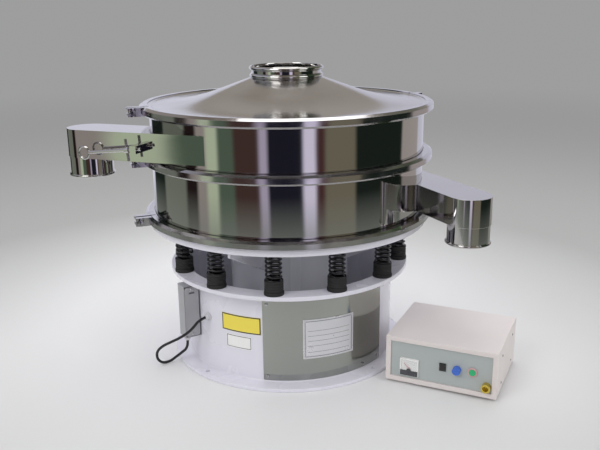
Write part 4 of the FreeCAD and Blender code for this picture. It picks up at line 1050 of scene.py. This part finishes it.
class SIEVE_OT_clamps(bpy.types.Operator):
    """Build the clamp bands, their bolts and the screw on the upper spout"""
    bl_idname = "sieve.clamps"
    bl_label = "Clamps"

    def execute(self, context):
        nodes = ["clamp_pins", "eye_bolt", "cross_bar"]
        for level in ("lower", "middle", "upper"):
            nodes += [level + "_" + kind for kind in ("band_front", "band_back", "swing_bolt",
                                                      "nut")]
        for node in nodes:
            settle(smooth_copy(node), "plating", node)
        return {"FINISHED"}


class SIEVE_OT_generator(bpy.types.Operator):
    """Build the generator with its panel, meter and controls"""
    bl_idname = "sieve.generator"
    bl_label = "Generator"

    def execute(self, context):
        settle(soften(smooth_copy("generator_case"), 0.0014, 3), "case_powder", "generator_case")
        for node, material in (("front_panel", "panel_print"), ("generator_feet", "black_rubber"),
                               ("meter_body", "meter_white"), ("meter_glass", "clear_glass"),
                               ("meter_needle", "red_paint"), ("power_rocker", "black_plastic"),
                               ("power_knob", "blue_plastic"), ("start_button", "green_lens"),
                               ("output_socket", "turned_brass")):
            settle(smooth_copy(node), material, node)
        self.details()
        return {"FINISHED"}

    def details(self):
        """Chin and scale of the meter, bezel of the button and screws of the hood."""
        along, into = at(PANEL_BEARING, 1000, 0), at(PANEL_BEARING + 90, 1000, 0)
        up = Vector((0, 0, 1))
        corner = Vector((0.268, -0.3, 0))
        chin = block("meter_chin", corner, along, into, up, (43, -4.2, 30), (93, -3.1, 46), 0.0004)
        self.dress(chin, "smoke_plastic", "meter_body")

        def spot(x, y, z):
            return corner + (along * x + into * y + up * z) * MM

        hub = rod("meter_hub", spot(68, -5.6, 46), spot(68, -3.1, 46), 0.0062, 32, 0.0006)
        self.dress(hub, "smoke_plastic", "meter_body")
        ticks = []
        for tick in range(11):
            turn = math.radians(135 - 9 * tick)
            long = 20.5 if tick % 5 == 0 else 18.8
            ends = [spot(68 + size * math.cos(turn), -0.35, 50 + size * math.sin(turn))
                    for size in (17, long)]
            ticks.append(rod("tick", ends[0], ends[1], 0.00022, 8))
        self.dress(join("meter_scale", ticks), "smoke_plastic", "meter_body")
        ring = rod("button_ring", spot(243, 2.6, 73), spot(243, 0.4, 73), 0.0134, 48, 0.0008)
        hole = rod("hole", spot(243, 5, 73), spot(243, -5, 73), 0.0093, 48)
        self.dress(carve(ring, hole), "pink_bezel", "front_panel")
        screws = [(spot(310.1, y, z), along) for y in (60, 210) for z in (30, 110)]
        studs = heads("hood_screws", screws, 3.4, 1.8, "plating", "generator")

    def dress(self, piece, material, node):
        """Settles a piece that stands on a node and replaces nothing."""
        settle(piece, material, None, BODY_OF[node])


class SIEVE_OT_stage(bpy.types.Operator):
    """Lay the floor, hang the lamps and set the camera"""
    bl_idname = "sieve.stage"
    bl_label = "Stage"

    def execute(self, context):
        self.floor()
        self.screen()
        self.world()
        self.lamps()
        self.camera()
        context.scene.view_settings.view_transform = "Standard"
        return {"FINISHED"}

    def disc(self, name, rings, steps=96):
        """Turned sheet of (radius, height) rings in metres about the machine's axis."""
        vertices = []
        for radius, height in rings:
            for step in range(steps):
                turn = math.tau * step / steps
                vertices.append((radius * math.cos(turn), radius * math.sin(turn), height))
        mesh = bpy.data.meshes.new(name)
        mesh.from_pydata(vertices, [], [face[::-1] for face in ring_faces(len(rings), steps)])
        for face in mesh.polygons:
            face.use_smooth = True
        return add_object(name, mesh)

    def floor(self):
        """Pale floor whose colour holds a painted pool of light round the machine, darkening with
        distance, and which fades into the backdrop.
        """
        level = -0.0005
        floor = self.disc("floor", [(0.0001, level), (1, level), (3, level), (9, level),
                                    (40, level)])
        material, work, shader = start_material("studio_floor")
        centre = work.add("ShaderNodeVectorMath", operation="DISTANCE")
        work.link(work.add("ShaderNodeTexCoord").outputs["Object"], centre.inputs[0])
        centre.inputs[1].default_value = (-0.1, 0.25, 0.0)
        away = centre.outputs["Value"]
        # Painted pool of light: the floor's colour is near white round the machine and greys
        # outward
        paint = work.ramp(work.maths("DIVIDE", away, 8.0), (
            (0.0, (0.93, 0.93, 0.93)), (0.08, (0.86, 0.86, 0.86)), (0.13, (0.68, 0.68, 0.67)),
            (0.19, (0.5, 0.5, 0.49)), (1.0, (0.4, 0.4, 0.4))))
        work.link(paint, shader.inputs["Base Color"])
        shader.inputs["Roughness"].default_value = 0.6
        shader.inputs["Specular IOR Level"].default_value = 0.2
        far = work.spread(away, 2.2, 8.5, interpolation_type="SMOOTHSTEP")
        light = work.add("ShaderNodeLightPath")
        seen = work.maths("MULTIPLY", far, light.outputs["Is Camera Ray"])
        haze = work.add("ShaderNodeEmission")
        haze.inputs["Color"].default_value = (*BACKDROP, 1)
        mixed = work.mix_shaders(seen, shader.outputs[0], haze.outputs[0])
        work.link(mixed, work.tree.nodes["Material Output"].inputs[0])
        floor.data.materials.append(material)

    def screen(self):
        """Striped screen round the machine that only the polished metal sees."""
        screen = self.disc("reflection_screen", [(1.45, 0.0), (1.45, 1.15)], 64)
        material, work, shader = start_material("workshop_stripes")
        work.tree.nodes.remove(shader)
        where = work.add("ShaderNodeTexCoord").outputs["Object"]
        parts = work.add("ShaderNodeSeparateXYZ")
        work.link(where, parts.inputs[0])
        turn = work.maths("ARCTAN2", parts.outputs["X"],
                          work.maths("MULTIPLY", parts.outputs["Y"], -1.0))
        share = work.spread(turn, -math.pi, math.pi)
        wavy = work.maths("MULTIPLY_ADD", work.noise(where, 0.9, 2), 0.02, share)
        bands = work.ramp(work.maths("SUBTRACT", wavy, 0.01), self.band_stops())
        low = work.spread(parts.outputs["Z"], 0.02, 0.3)
        glow = work.add("ShaderNodeEmission")
        work.link(work.blend(low, (0.27, 0.29, 0.26, 1), bands), glow.inputs["Color"])
        work.link(glow.outputs[0], work.tree.nodes["Material Output"].inputs[0])
        screen.data.materials.append(material)
        for ray in ("camera", "diffuse", "transmission", "shadow"):
            setattr(screen, "visible_" + ray, False)

    def band_stops(self):
        """Ramp stops of the screen: each band's last bearing from behind, and its colour."""
        bands = ((-134, (0.72, 0.73, 0.84)), (-108, (0.015, 0.022, 0.018)),
                 (-80, (0.2, 0.22, 0.18)), (-69, (0.02, 0.012, 0.012)),
                 (-60, (0.36, 0.32, 0.3)), (-50, (0.55, 0.63, 0.46)),
                 (-37, (0.1, 0.14, 0.1)), (-20, (0.07, 0.04, 0.035)),
                 (-14, (0.5, 0.45, 0.58)), (11, (0.015, 0.015, 0.026)),
                 (20, (0.85, 0.8, 1.0)), (26, (0.08, 0.035, 0.035)),
                 (49, (0.2, 0.18, 0.13)), (94, (0.014, 0.02, 0.016)),
                 (122, (0.42, 0.38, 0.36)), (180, (0.62, 0.62, 0.72)))
        stops, start, blend = [], -180, 1.3
        for end, colour in bands:
            for bearing in (start + blend, end - blend):
                stops.append(((bearing + 180) / 360, colour))
            start = end
        return stops

    def world(self):
        """Soft sky light, the plain backdrop, and the hall that the metal mirrors."""
        world = bpy.data.worlds.new("studio")
        bpy.context.scene.world = world
        world.use_nodes = True
        work = Network(world.node_tree)
        soft = work.tree.nodes["Background"]
        soft.inputs["Color"].default_value = (0.97, 0.97, 1.0, 1)
        soft.inputs["Strength"].default_value = 0.66
        back, room = work.add("ShaderNodeBackground"), work.add("ShaderNodeBackground")
        back.inputs["Color"].default_value = (*BACKDROP, 1)
        work.link(self.room_colour(work), room.inputs["Color"])
        light = work.add("ShaderNodeLightPath")
        seen = work.mix_shaders(light.outputs["Is Camera Ray"], soft.outputs[0],
                                back.outputs[0])
        mirrored = work.mix_shaders(light.outputs["Is Glossy Ray"], seen, room.outputs[0])
        work.link(mirrored, work.tree.nodes["World Output"].inputs[0])

    def room_colour(self, work):
        """Hall above the machine, seen only in the polished metal."""
        where = work.add("ShaderNodeTexCoord").outputs["Generated"]
        hall = work.ramp(work.noise(where, 1.6, 2), (
            (0.3, (0.2, 0.17, 0.14)), (0.5, (0.3, 0.265, 0.23)), (0.7, (0.42, 0.39, 0.36))))
        garden = work.ramp(work.noise(where, 9, 4), (
            (0.38, (0.012, 0.018, 0.01)), (0.6, (0.06, 0.1, 0.045)),
            (0.72, (0.3, 0.34, 0.26))))
        parts = work.add("ShaderNodeSeparateXYZ")
        work.link(where, parts.inputs[0])
        right = work.spread(parts.outputs["X"], 0.42, 0.56)
        left = work.spread(parts.outputs["X"], -0.45, -0.75)
        return work.blend(left, work.blend(right, hall, garden), (0.55, 0.56, 0.66, 1))

    def lamps(self):
        for name, place, aim, size, power in (
                ("key", (-2.2, -2.6, 3.0), (0, 0, 0.5), 1.8, 46),
                ("fill", (2.8, -1.8, 2.2), (0, 0, 0.5), 1.6, 24),
                ("top", (0.2, 0.6, 3.6), (0, 0, 0.6), 2.2, 34)):
            lamp = bpy.data.lights.new(name, "AREA")
            lamp.size = size
            lamp.energy = power
            holder = bpy.data.objects.new(name, lamp)
            holder.location = place
            aimed = (Vector(aim) - Vector(place)).to_track_quat("-Z", "Y")
            holder.rotation_euler = aimed.to_euler()
            bpy.context.collection.objects.link(holder)

    def camera(self):
        lens = bpy.data.cameras.new("camera")
        lens.lens = 44.82
        lens.sensor_width = 36
        camera = bpy.data.objects.new("camera", lens)
        dip, swing, lean = (math.radians(angle) for angle in (16.04, 0.9, -0.67))
        ahead = Vector((math.sin(swing) * math.cos(dip), math.cos(swing) * math.cos(dip),
                        -math.sin(dip)))
        right = Vector((math.cos(swing), -math.sin(swing), 0))
        up = right.cross(ahead)
        level = right * math.cos(lean) + up * math.sin(lean)
        upright = up * math.cos(lean) - right * math.sin(lean)
        pose = Matrix((level, upright, -ahead)).transposed().to_4x4()
        pose.translation = (0, -2.216, 1.0144)
        camera.matrix_world = pose
        bpy.context.collection.objects.link(camera)
        bpy.context.scene.camera = camera


class SIEVE_PT_panel(bpy.types.Panel):
    """Lists the steps that dress the sieve"""
    bl_idname = "SIEVE_PT_panel"
    bl_label = "Vibrating sieve"
    bl_space_type = "VIEW_3D"
    bl_region_type = "UI"
    bl_category = "Sieve"

    def draw(self, context):
        for step in STEPS:
            self.layout.operator(step.bl_idname)
        for group in (context.scene.sieve_sizes, context.scene.sieve_colours):
            for key in group.bl_rna.properties.keys():
                if key not in ("rna_type", "name"):
                    self.layout.prop(group, key)


STEPS = (SIEVE_OT_finishes, SIEVE_OT_base, SIEVE_OT_cable, SIEVE_OT_springs, SIEVE_OT_table,
         SIEVE_OT_shells, SIEVE_OT_cover, SIEVE_OT_clamps, SIEVE_OT_generator, SIEVE_OT_stage)
CLASSES = (SieveSizes, SieveColours, *STEPS, SIEVE_PT_panel)


def register():
    for item in CLASSES:
        bpy.utils.register_class(item)
    bpy.types.Scene.sieve_sizes = PointerProperty(type=SieveSizes)
    bpy.types.Scene.sieve_colours = PointerProperty(type=SieveColours)


def unregister():
    del bpy.types.Scene.sieve_colours
    del bpy.types.Scene.sieve_sizes
    for item in reversed(CLASSES):
        bpy.utils.unregister_class(item)


def main():
    register()
    for step in STEPS:
        prefix, word = step.bl_idname.split(".")
        getattr(getattr(bpy.ops, prefix), word)()


if __name__ == "__main__":
    main()
